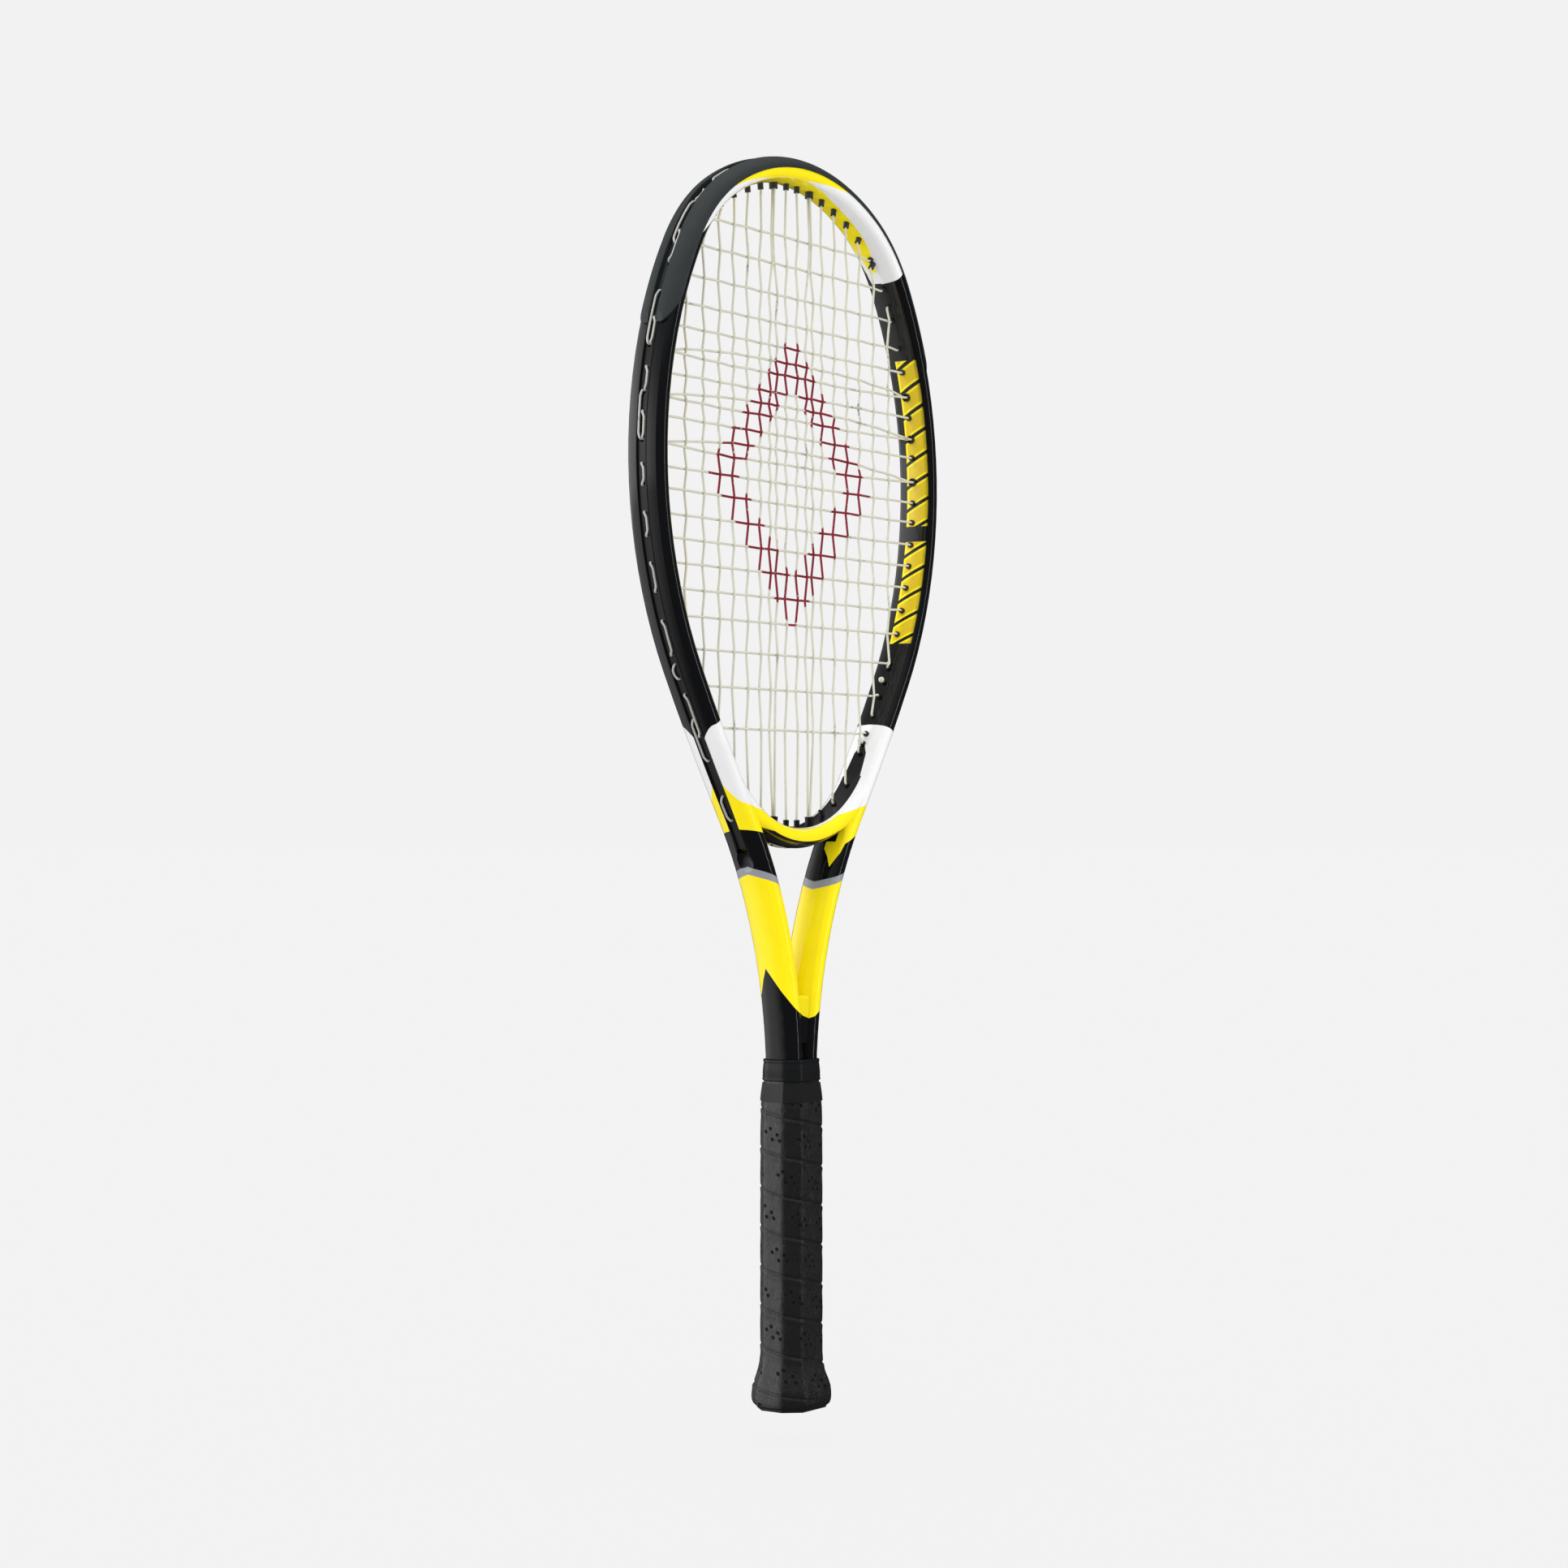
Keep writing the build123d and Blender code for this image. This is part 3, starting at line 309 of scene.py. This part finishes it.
class TubePaint(Surface):
    """The frame's paint. The design is the same again after half a turn about Z."""

    def __init__(self, name):
        super().__init__(name)
        self.ax, self.ay = abs(self.x), abs(self.y)
        self.depth = hoop_depth(self.ax, self.z)
        self.inner = self.depth.below(-TUBE_HALF_WIDTH + 1.5, 0.8)
        self.outer = ((self.depth - 3.0) * (1 / 3.0)).math("ADD", 0.0, clamp=True)
        # The way round the section: across the front or back face, then over the inner face.
        self.way = self.inner.pick(self.ay - (TUBE_HALF_WIDTH + TUBE_HALF_BEAM), self.depth)
        # The twin quarters are the front at +X and the back at -X.
        self.twin = (self.x * self.y).below(0.0)

    def head(self):
        """Yellow, with a white wedge that widens down each side, then black."""
        square = self.depth * -0.33 - 8.0
        slant = self.inner.pick(-6.5, (self.depth - 1.0).math("MINIMUM", 0.0) * 3.7 - 0.3)
        crown = along_cut(self.ax, self.z, arc_ends[2]).below(self.twin.pick(square, slant))
        wedge_top = self.twin.pick(
            broken_line(self.ax, [(2.0, -4.3), (16.0, -2.8), (28.0, -1.3), (42.0, 1.4)]),
            self.ax * 0.13 - 8.1)
        wedge_low = self.twin.pick(
            broken_line(self.ax, [
                (2.0, -4.3), (14.0, -9.7), (31.0, -13.3), (46.0, -14.5), (56.0, -14.7),
                (66.0, -15.2), (73.0, -15.9), (77.0, -16.7), (83.0, -24.0)]), -4.0)
        far_edge = broken_line(self.ax, [(60.0, 14.0), (74.5, 9.0), (82.5, 5.5)])
        band = self.way.below(wedge_low) & (self.twin | self.ay.below(far_edge))
        band = band & self.ax.below(84.0, 0.8)
        colour = self.blend(self.depth.above(wedge_top) | band, YELLOW, WHITE)
        return self.blend(crown, colour, BLACK)

    def side_blocks(self, colour):
        """A row of slanted yellow blocks on the inner face of each side, with a gap in it."""
        run = (self.z + self.y * 0.55 - BLOCKS_LOW).wrap(BLOCK_PITCH)
        block = run.between(1.1, 12.2) & self.y.between(-10.0, 4.2) & self.inner
        block = block & self.z.between(BLOCKS_LOW, BLOCKS_HIGH)
        block = block & self.z.between(*BLOCKS_GAP).below(0.5)
        trim = self.y.between(-8.6, 2.8).below(0.5) | run.between(2.5, 10.8).below(0.5)
        return self.blend(block, self.blend(trim, YELLOW, BLOCK_TRIM), colour)

    def foot(self, colour):
        """White, then yellow shoulders, with a black dagger on the inner face."""
        past_foot = (self.ax - 80.9) * -0.518 - (self.z - 371.0) * 0.855
        edge = self.outer * (1.0 - self.ay * 0.1) * 11.0 - 2.5
        colour = self.blend(past_foot.above(edge), WHITE, colour)
        shoulder = shoulder_line(self.ax) + self.outer * (1.0 - self.ay * 0.09) * 12.0
        colour = self.blend(self.z.below(shoulder), YELLOW, colour)
        dagger = broken_line(self.z, [(300.0, 5.6), (346.0, 5.6), (360.0, 4.0), (368.0, -0.5)])
        dagger = self.inner & self.ay.below(dagger) & self.z.above(310.0)
        return self.blend(dagger, BLACK, colour)

    def arms(self, colour, yellow):
        """A black patch, a silver chevron, then yellow down to the shaft's black sweep."""
        tongue = broken_line(self.way, [
            (-28.0, 313.0), (-20.0, 309.0), (-14.0, 301.5), (-11.5, 296.0), (-8.5, 303.0),
            (-4.5, 308.5), (0.0, 312.5), (6.0, 316.0)])
        patch = self.twin.pick(tongue, self.depth * 0.2 + 315.6)
        colour = self.blend(self.z.below(patch), BLACK, colour)
        # from 0 on the middle of the arm's outer face, round to 2 on the middle of its inner face
        round_arm = (self.ay * (1 / 11.5)).math("ARCTAN2", self.depth * (1 / 6.5)) * (2 / pi)
        chevron = ~round_arm * CHEVRON_RISE + CHEVRON_MIDDLE
        colour = self.blend(self.z.below(chevron, 0.4), SILVER, colour)
        colour = self.blend(self.z.below(chevron - CHEVRON_WIDTH, 0.4), yellow, colour)
        # The sweep slants round the shaft, so it is laid out on a plane that faces one corner.
        normal_x, normal_y, _ = self.split(self.coordinates.outputs["Normal"])
        corner = (normal_x * -0.81 - normal_y * 0.586).sign()
        across = (self.x * 0.584 - self.y * 0.812) * corner
        sweep = broken_line(across, [
            (-17.8, 222.0), (-16.2, 227.1), (-15.3, 234.7), (-14.0, 241.0), (-11.5, 237.3),
            (-5.6, 228.8), (1.2, 220.4), (6.2, 214.9), (9.6, 213.2), (12.9, 214.2),
            (17.2, 218.7), (18.2, 222.0)])
        return self.blend(self.z.below(sweep, 0.4), BLACK, colour)


def frame_paint(name="frame_paint", yellow=YELLOW):
    s = TubePaint(name)
    lacquer(s, s.arms(s.foot(s.side_blocks(s.head())), yellow))
    return s.material


def bridge_paint():
    s = Surface("bridge_paint")
    ay = abs(s.y)
    depth = hypotenuse(s.x, s.z - BRIDGE_CENTRE) - BRIDGE_RADIUS
    line = depth.below(-4.4, 0.3)
    colour = s.blend(line | s.z.above(shoulder_line(abs(s.x))), WHITE, YELLOW)
    colour = s.blend(line & ay.below(6.2), BLACK, colour)
    # The underside is black, and the yellow runs on into the arms at both ends.
    under = depth - ((abs(s.x) - 30.0) | 0.0) * 0.22
    colour = s.blend(under.above(2.6, 0.3), UNDERSIDE, colour)
    lacquer(s, colour)
    return s.material


give(frame_paint(), "frame")
give(frame_paint("filler_paint", SHADED_YELLOW), "fork_filler")
give(bridge_paint(), "throat_bridge")


# ---------------------------------------------------------------- plastics, strings, metal
def moulded(name, colour, rough=0.42, grain=0.012):
    """Injection-moulded plastic: a fine spark-eroded texture and faint flow marks."""
    s = Surface(name)
    s.colour(s.wear(colour, 0.14, 22.0))
    s.set(Roughness=s.noise(9.0, 3.0, (1.0, 1.0, 0.35)) * 0.14 + (rough - 0.07))
    s.set(IOR=1.5, Specular_IOR_Level=0.5)
    s.bump(s.noise(0.35, 2.0), grain)
    s.bump(s.noise(16.0, 2.0, (1.0, 1.0, 0.4)), 0.05)
    return s.material


RING_HEIGHT, RING_INSIDE, RING_OUTSIDE = 508.0, 53.0, 82.0


def string_material():
    """Pale synthetic string with a red stencilled ring, rubbed grey in a few stretches."""
    s = Surface("string_filament")
    ivory = s.wear((0.60, 0.59, 0.49), 0.10, 5.0)
    # Outside the tube's centreline the loops lie in the recessed groove, so they are painted grey:
    # painted shade.
    ivory = s.blend(hoop_depth(abs(s.x), s.z).above(2.0, 1.0), (0.42, 0.42, 0.39), ivory)
    rubbed = s.noise(26.0, 2.0).above(0.66, 0.05) & s.noise(1.1, 2.0).above(0.52, 0.10)
    colour = s.blend(rubbed, (0.23, 0.23, 0.22), ivory)
    inside = abs(s.y).below(2.0)
    reach = abs(s.x) * 1.05 + abs(s.z - RING_HEIGHT)
    ring = reach.between(RING_INSIDE, RING_OUTSIDE, 0.8) & inside
    ink = ring & s.noise(2.2, 3.0).above(0.30, 0.10)
    colour = s.blend(ink, (0.23, 0.010, 0.022), colour)
    s.colour(colour)
    s.set(Roughness=0.36, IOR=1.52, Coat_Weight=0.25, Coat_Roughness=0.2)
    s.set(Subsurface_Weight=0.12, Subsurface_Radius=(0.001, 0.0009, 0.0006))
    s.bump(s.noise(0.5, 2.0), 0.012)
    return s.material


def foam(name, colour):
    s = Surface(name)
    s.colour(s.wear(colour, 0.2, 3.0))
    s.set(Roughness=0.9)
    s.bump(s.cells(0.9), 0.12)
    return s.material


def steel():
    s = Surface("steel_wire")
    s.colour(s.wear((0.55, 0.55, 0.56), 0.08, 2.0))
    s.set(Metallic=1.0, Roughness=s.noise(0.6, 2.0, (6.0, 6.0, 1.0)) * 0.2 + 0.25)
    s.bump(s.noise(0.3, 2.0, (8.0, 8.0, 1.0)), 0.006)
    return s.material


give(moulded("guard_plastic", (0.0230, 0.0270, 0.0280), 0.42, 0.014), "bumper_guard")
give(moulded("grommet_plastic", (0.0065, 0.0068, 0.0072), 0.33, 0.008),
     "grommet_strip_left", "grommet_strip_right", "bridge_grommet_strip")
give(string_material(), "main_string", "cross_string", "string_knots")
give(foam("leg_foam", (0.62, 0.56, 0.40)), "leg_plugs")
give(foam("handle_foam", (0.50, 0.46, 0.36)), "handle_pallet")
give(moulded("cap_plastic", (0.012, 0.012, 0.013), 0.45, 0.012), "butt_cap")
give(moulded("door_plastic", (0.016, 0.016, 0.017), 0.40, 0.012), "trap_door")
give(moulded("tape_vinyl", (0.010, 0.010, 0.010), 0.38, 0.006), "finishing_tape")
give(steel(), "butt_cap_staples", "grip_tack")


# ---------------------------------------------------------------- the wound grip
# The grip's outer octagon: height, half size in X, half size in Y.
GRIP_LEVELS = [(1.6, 19.7, 16.7), (2.6, 20.7, 17.7), (4.4, 21.3, 18.3), (6.5, 21.5, 18.5),
               (9.0, 21.45, 18.45), (12.0, 21.1, 18.1), (15.5, 20.1, 17.1), (18.6, 19.1, 16.1),
               (21.5, 18.3, 15.3), (25.0, 17.65, 14.65), (30.0, 17.25, 14.25), (150.0, 17.2, 14.2),
               (165.0, 16.9, 14.0), (172.0, 16.3, 13.5), (178.0, 15.4, 12.8), (182.0, 14.9, 12.3)]
FLAT_X_SHARE, FLAT_Y_SHARE = 0.44, 0.585
WRAP_PITCH = 21.5
WRAP_SKIN = 1.1
COLUMNS, ROW_STEP = 168, 0.55
GRIP_CORNER, COLLAR_CORNER = 34, 26      # higher is sharper
ROSETTE_PITCH = 18.5
ROSETTE = [(-3.6, 0.4), (-0.8, 2.8), (0.4, -2.8), (3.4, 0.5), (4.8, -2.4)]
HOLE_RADIUS = 0.95


def level_at(levels, height):
    for low, high in zip(levels, levels[1:]):
        if height <= high[0]:
            share = (height - low[0]) / (high[0] - low[0])
            return [a + (b - a) * share for a, b in zip(low[1:], high[1:])]
    return list(levels[-1][1:])


def octagon_radius(angle, half_x, half_y, sharp=GRIP_CORNER):
    """Distance from the axis to a round-cornered octagon, in one direction."""
    flat_x, flat_y = half_y * FLAT_X_SHARE, half_x * FLAT_Y_SHARE
    nx, ny = half_y - flat_x, half_x - flat_y
    size = hypot(nx, ny)
    nx, ny = nx / size, ny / size
    slant = half_x * nx + flat_x * ny
    c, s = abs(cos(angle)), abs(sin(angle))
    total = sum(max(0.0, value) ** sharp
                for value in (c / half_x, s / half_y, (c * nx + s * ny) / slant))
    return total ** (-1.0 / sharp)


def seam_relief(share):
    """Height of the wrap's surface over one pitch: the groove at an overlapped edge, a soft
    roll beside it, and a slack dip further on."""
    near = share if share < 0.5 else share - 1.0
    distance = near * WRAP_PITCH
    groove = -0.80 / (1.0 + (distance / 0.45) ** 2)
    roll = 0.22 / (1.0 + ((distance + 1.7) / 0.8) ** 2)
    slack = -0.14 / (1.0 + ((distance + 4.6) / 1.6) ** 2)
    return groove + roll + slack


def ring_mesh(name, rows, material):
    """A closed ring surface from rows of (height, radius function). Rows run up the outside
    and down the inside."""
    mesh = bpy.data.meshes.new(name)
    build = bmesh.new()
    grid = []
    for height, radius_at in rows:
        row = []
        for k in range(COLUMNS):
            angle = 2 * pi * k / COLUMNS
            r = radius_at(angle)
            row.append(build.verts.new((r * cos(angle) * MM, r * sin(angle) * MM, height * MM)))
        grid.append(row)
    layer = build.loops.layers.uv.new("wrap")
    for j, low in enumerate(grid):
        high = grid[(j + 1) % len(grid)]
        for k in range(COLUMNS):
            after = (k + 1) % COLUMNS
            face = build.faces.new((low[k], low[after], high[after], high[k]))
            face.smooth = True
            for loop, column in zip(face.loops, (k, k + 1, k + 1, k)):
                turn = column / COLUMNS
                climb = loop.vert.co.z / MM + turn * WRAP_PITCH
                loop[layer].uv = (turn, climb / WRAP_PITCH)
    bmesh.ops.recalc_face_normals(build, faces=build.faces)
    build.to_mesh(mesh)
    build.free()
    piece = bpy.data.objects.new(name, mesh)
    bpy.context.scene.collection.objects.link(piece)
    mesh.materials.append(material)
    return piece


def leather():
    """Grained black grip leather with rosettes of punched holes along the strip."""
    s = Surface("grip_leather")
    uv = s.add("ShaderNodeUVMap")
    uv.uv_map = "wrap"
    turn, climb, _ = s.split(uv.outputs[0])
    across = climb.wrap(1.0) * WRAP_PITCH - WRAP_PITCH / 2
    length = (turn + climb.math("FLOOR")) * 100.0
    cell = length.wrap(ROSETTE_PITCH) - ROSETTE_PITCH / 2
    gaps = [hypotenuse(cell - u, across - v) for u, v in ROSETTE]
    nearest = gaps[0]
    for gap in gaps[1:]:
        nearest = nearest & gap
    punched = nearest.below(HOLE_RADIUS, 0.2)
    wrinkles = s.noise(2.2, 4.0, (1.0, 1.0, 0.55), 0.62)
    grain = s.cells(0.75)
    colour = s.wear((0.0075, 0.0080, 0.0085), 0.22, 8.0)
    # The punched holes are painted near black: painted shade inside the holes.
    colour = s.blend(punched, (0.0008, 0.0008, 0.0008), colour)
    s.colour(colour)
    s.set(Roughness=(wrinkles * 0.40 + 0.12) | punched)
    s.set(IOR=1.8)
    s.bump(wrinkles, 0.42)
    s.bump(s.noise(7.0, 2.0, (1.0, 1.0, 0.6)), 0.5)
    s.bump(grain.math("MINIMUM", 0.25), 0.22)
    s.bump(~punched, 0.6)
    return s.material


def rubber():
    s = Surface("collar_rubber")
    s.colour(s.wear((0.0075, 0.0080, 0.0088), 0.15, 10.0))
    s.set(Roughness=s.noise(3.0, 3.0) * 0.16 + 0.28)
    s.set(IOR=1.42)
    s.bump(s.noise(0.5, 3.0), 0.02)
    s.bump(s.noise(5.0, 2.0, (0.4, 0.4, 1.6)), 0.10)
    return s.material


def wrap_rows():
    low, high = GRIP_LEVELS[0][0], GRIP_LEVELS[-1][0]
    steps = int((high - low) / ROW_STEP)
    rows = []

    def outside(height):
        half_x, half_y = level_at(GRIP_LEVELS, height)

        def radius_at(angle):
            share = (height / WRAP_PITCH + angle / (2 * pi)) % 1.0
            wave = 0.10 * sin(3 * angle + height * 0.31) + 0.08 * sin(5 * angle - height * 0.47)
            fade = min(1.0, max(0.0, (height - 3.0) / 6.0))
            relief = seam_relief(share) + 0.35 * (wave - 0.18)
            return octagon_radius(angle, half_x, half_y) + relief * fade

        return radius_at

    def inside(height):
        half_x, half_y = level_at(GRIP_LEVELS, height)
        return lambda angle: octagon_radius(angle, half_x, half_y) - WRAP_SKIN

    for i in range(steps + 1):
        height = low + (high - low) * i / steps
        rows.append((height, outside(height)))
    for height in (176.0, 160.0, 120.0, 80.0, 40.0, 24.0, 16.0, 10.0, 5.0, 2.8):
        rows.append((height, inside(height)))
    return rows


grip_wrap = ring_mesh("grip_wrap", wrap_rows(), leather())
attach(grip_wrap, "racket")
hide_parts("grip_sleeve")

# ---------------------------------------------------------------- the rubber collar
# Height, half sizes, with a rolled bead at the top and two soft creases low down.
COLLAR_LEVELS = [(179.25, 15.75, 13.05), (179.5, 16.0, 13.3), (180.4, 16.05, 13.35),
                 (181.0, 15.80, 13.10), (181.6, 15.98, 13.28), (182.6, 15.80, 13.10),
                 (183.2, 15.92, 13.22), (186.0, 15.72, 13.02), (188.2, 15.50, 12.80),
                 (188.8, 15.30, 12.60), (189.3, 15.45, 12.75), (189.9, 15.60, 12.90),
                 (190.5, 15.58, 12.88), (190.85, 15.42, 12.72), (190.98, 15.25, 12.55)]
# The bore, from the top down to the wider seat on the grip's top edge.
COLLAR_BORE = [(190.8, 15.1, 12.4), (189.5, 15.02, 12.28), (183.5, 15.02, 12.28),
               (182.45, 15.1, 12.4), (182.3, 15.5, 12.9), (180.0, 15.5, 12.9),
               (179.4, 15.55, 12.95)]


def collar_row(height, half_x, half_y):
    return height, lambda angle: octagon_radius(angle, half_x, half_y, COLLAR_CORNER)


def collar_rows():
    return [collar_row(*level) for level in COLLAR_LEVELS + COLLAR_BORE]


collar_sleeve = ring_mesh("collar_sleeve", collar_rows(), rubber())
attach(collar_sleeve, "collar")
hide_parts("grip_collar")


# ---------------------------------------------------------------- studio
CAMERA_AZIMUTH = radians(54.125)      # from -Y towards -X
CAMERA_PITCH = radians(0.859)
CAMERA_DISTANCE, CAMERA_SIDE, CAMERA_HEIGHT = 1.74093, -0.00404, 0.31569
CAMERA_LENS = 72.65
FLOOR_RADIUS = 60.0
BACKDROP, SKY_LIGHT = 0.888, 0.80
FLOOR_DROP = 0.018                    # the trap door's pull ends above the floor
away = Vector((sin(CAMERA_AZIMUTH), cos(CAMERA_AZIMUTH), 0.0))
right = Vector((cos(CAMERA_AZIMUTH), -sin(CAMERA_AZIMUTH), 0.0))


def plain(name, colour, glow=0.0):
    material = bpy.data.materials.new(name)
    material.use_nodes = True
    shader = material.node_tree.nodes["Principled BSDF"]
    shader.inputs["Base Color"].default_value = (*colour, 1.0)
    shader.inputs["Roughness"].default_value = 0.9
    shader.inputs["Specular IOR Level"].default_value = 0.0
    shader.inputs["Emission Color"].default_value = (1.0, 1.0, 1.0, 1.0)
    shader.inputs["Emission Strength"].default_value = glow
    return material


floor_mesh = bpy.data.meshes.new("floor")
floor_build = bmesh.new()
bmesh.ops.create_circle(floor_build, cap_ends=True, segments=96, radius=FLOOR_RADIUS)
floor_build.to_mesh(floor_mesh)
floor_build.free()
floor = bpy.data.objects.new("floor", floor_mesh)
floor.location.z = -FLOOR_DROP
bpy.context.scene.collection.objects.link(floor)
floor_mesh.materials.append(plain("floor_paper", (0.05, 0.05, 0.05), 0.852))
floor.visible_glossy = False
floor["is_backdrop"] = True

world = bpy.data.worlds.new("studio")
bpy.context.scene.world = world
world.use_nodes = True
tree = world.node_tree
tree.nodes.clear()
rays = tree.nodes.new("ShaderNodeLightPath")
skies = []
for strength in (BACKDROP, SKY_LIGHT):
    sky = tree.nodes.new("ShaderNodeBackground")
    sky.inputs["Color"].default_value = (1.0, 1.0, 1.0, 1.0)
    sky.inputs["Strength"].default_value = strength
    skies.append(sky)
# Reflections see a dark room with a bright wall on the left and a paler ceiling.
direction = tree.nodes.new("ShaderNodeTexCoord")
parts = tree.nodes.new("ShaderNodeSeparateXYZ")
tree.links.new(direction.outputs["Generated"], parts.inputs[0])
to_x, to_y, to_z = [Field(tree, out) for out in parts.outputs]
leftward = (to_x * right.x + to_y * right.y) * -1.0
low_wall = to_z.above(-0.02, 0.08) * 0.55 + 0.45
wall = leftward.above(0.66, 0.42) * to_z.below(0.42, 0.40) * low_wall
ceiling = to_z.above(0.70, 0.60)
glow = wall * 1.7 + ceiling * 0.45 + 0.03
room = tree.nodes.new("ShaderNodeBackground")
tree.links.new(glow.socket, room.inputs["Strength"])
reflected = tree.nodes.new("ShaderNodeMixShader")
tree.links.new(rays.outputs["Is Glossy Ray"], reflected.inputs[0])
tree.links.new(skies[1].outputs[0], reflected.inputs[1])
tree.links.new(room.outputs[0], reflected.inputs[2])
seen = tree.nodes.new("ShaderNodeMixShader")
tree.links.new(rays.outputs["Is Camera Ray"], seen.inputs[0])
tree.links.new(reflected.outputs[0], seen.inputs[1])
tree.links.new(skies[0].outputs[0], seen.inputs[2])
world_output = tree.nodes.new("ShaderNodeOutputWorld")
tree.links.new(seen.outputs[0], world_output.inputs["Surface"])

# ---------------------------------------------------------------- camera
camera = bpy.data.objects.new("camera", bpy.data.cameras.new("camera"))
camera.data.lens = CAMERA_LENS
camera.location = right * CAMERA_SIDE - away * CAMERA_DISTANCE + Vector((0, 0, CAMERA_HEIGHT))
look = away * cos(CAMERA_PITCH) + Vector((0, 0, sin(CAMERA_PITCH)))
camera.rotation_euler = look.to_track_quat("-Z", "Y").to_euler()
bpy.context.scene.collection.objects.link(camera)
bpy.context.scene.camera = camera

# ---------------------------------------------------------------- lights
lit = bpy.data.collections.new("lit")
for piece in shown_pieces():
    lit.objects.link(piece)


def softbox(name, sideways, towards, height, width, tall, power, shine=False):
    """A softbox placed from the racket's middle: sideways to the camera's right, towards the
    camera, and up. It lights the racket only, so that the floor stays even."""
    data = bpy.data.lights.new(name, "AREA")
    data.shape = "RECTANGLE"
    data.size, data.size_y = width, tall
    data.energy = power
    lamp = bpy.data.objects.new(name, data)
    lamp.location = right * sideways - away * towards + Vector((0, 0, height))
    aim = Vector((0, 0, 0.36)) - lamp.location
    lamp.rotation_euler = aim.to_track_quat("-Z", "Y").to_euler()
    lamp.visible_glossy = shine
    bpy.context.scene.collection.objects.link(lamp)
    lamp.light_linking.receiver_collection = lit


softbox("key", -1.5, 1.3, 1.5, 0.9, 1.4, 26.0)
softbox("fill", 1.6, 0.6, 0.8, 0.5, 1.6, 12.0)
softbox("crown", -0.2, 0.2, 2.2, 1.2, 1.2, 16.0)
softbox("edge", 1.9, 0.35, 0.5, 0.10, 1.8, 3.0, shine=True)

bpy.context.scene.view_settings.view_transform = "Standard"
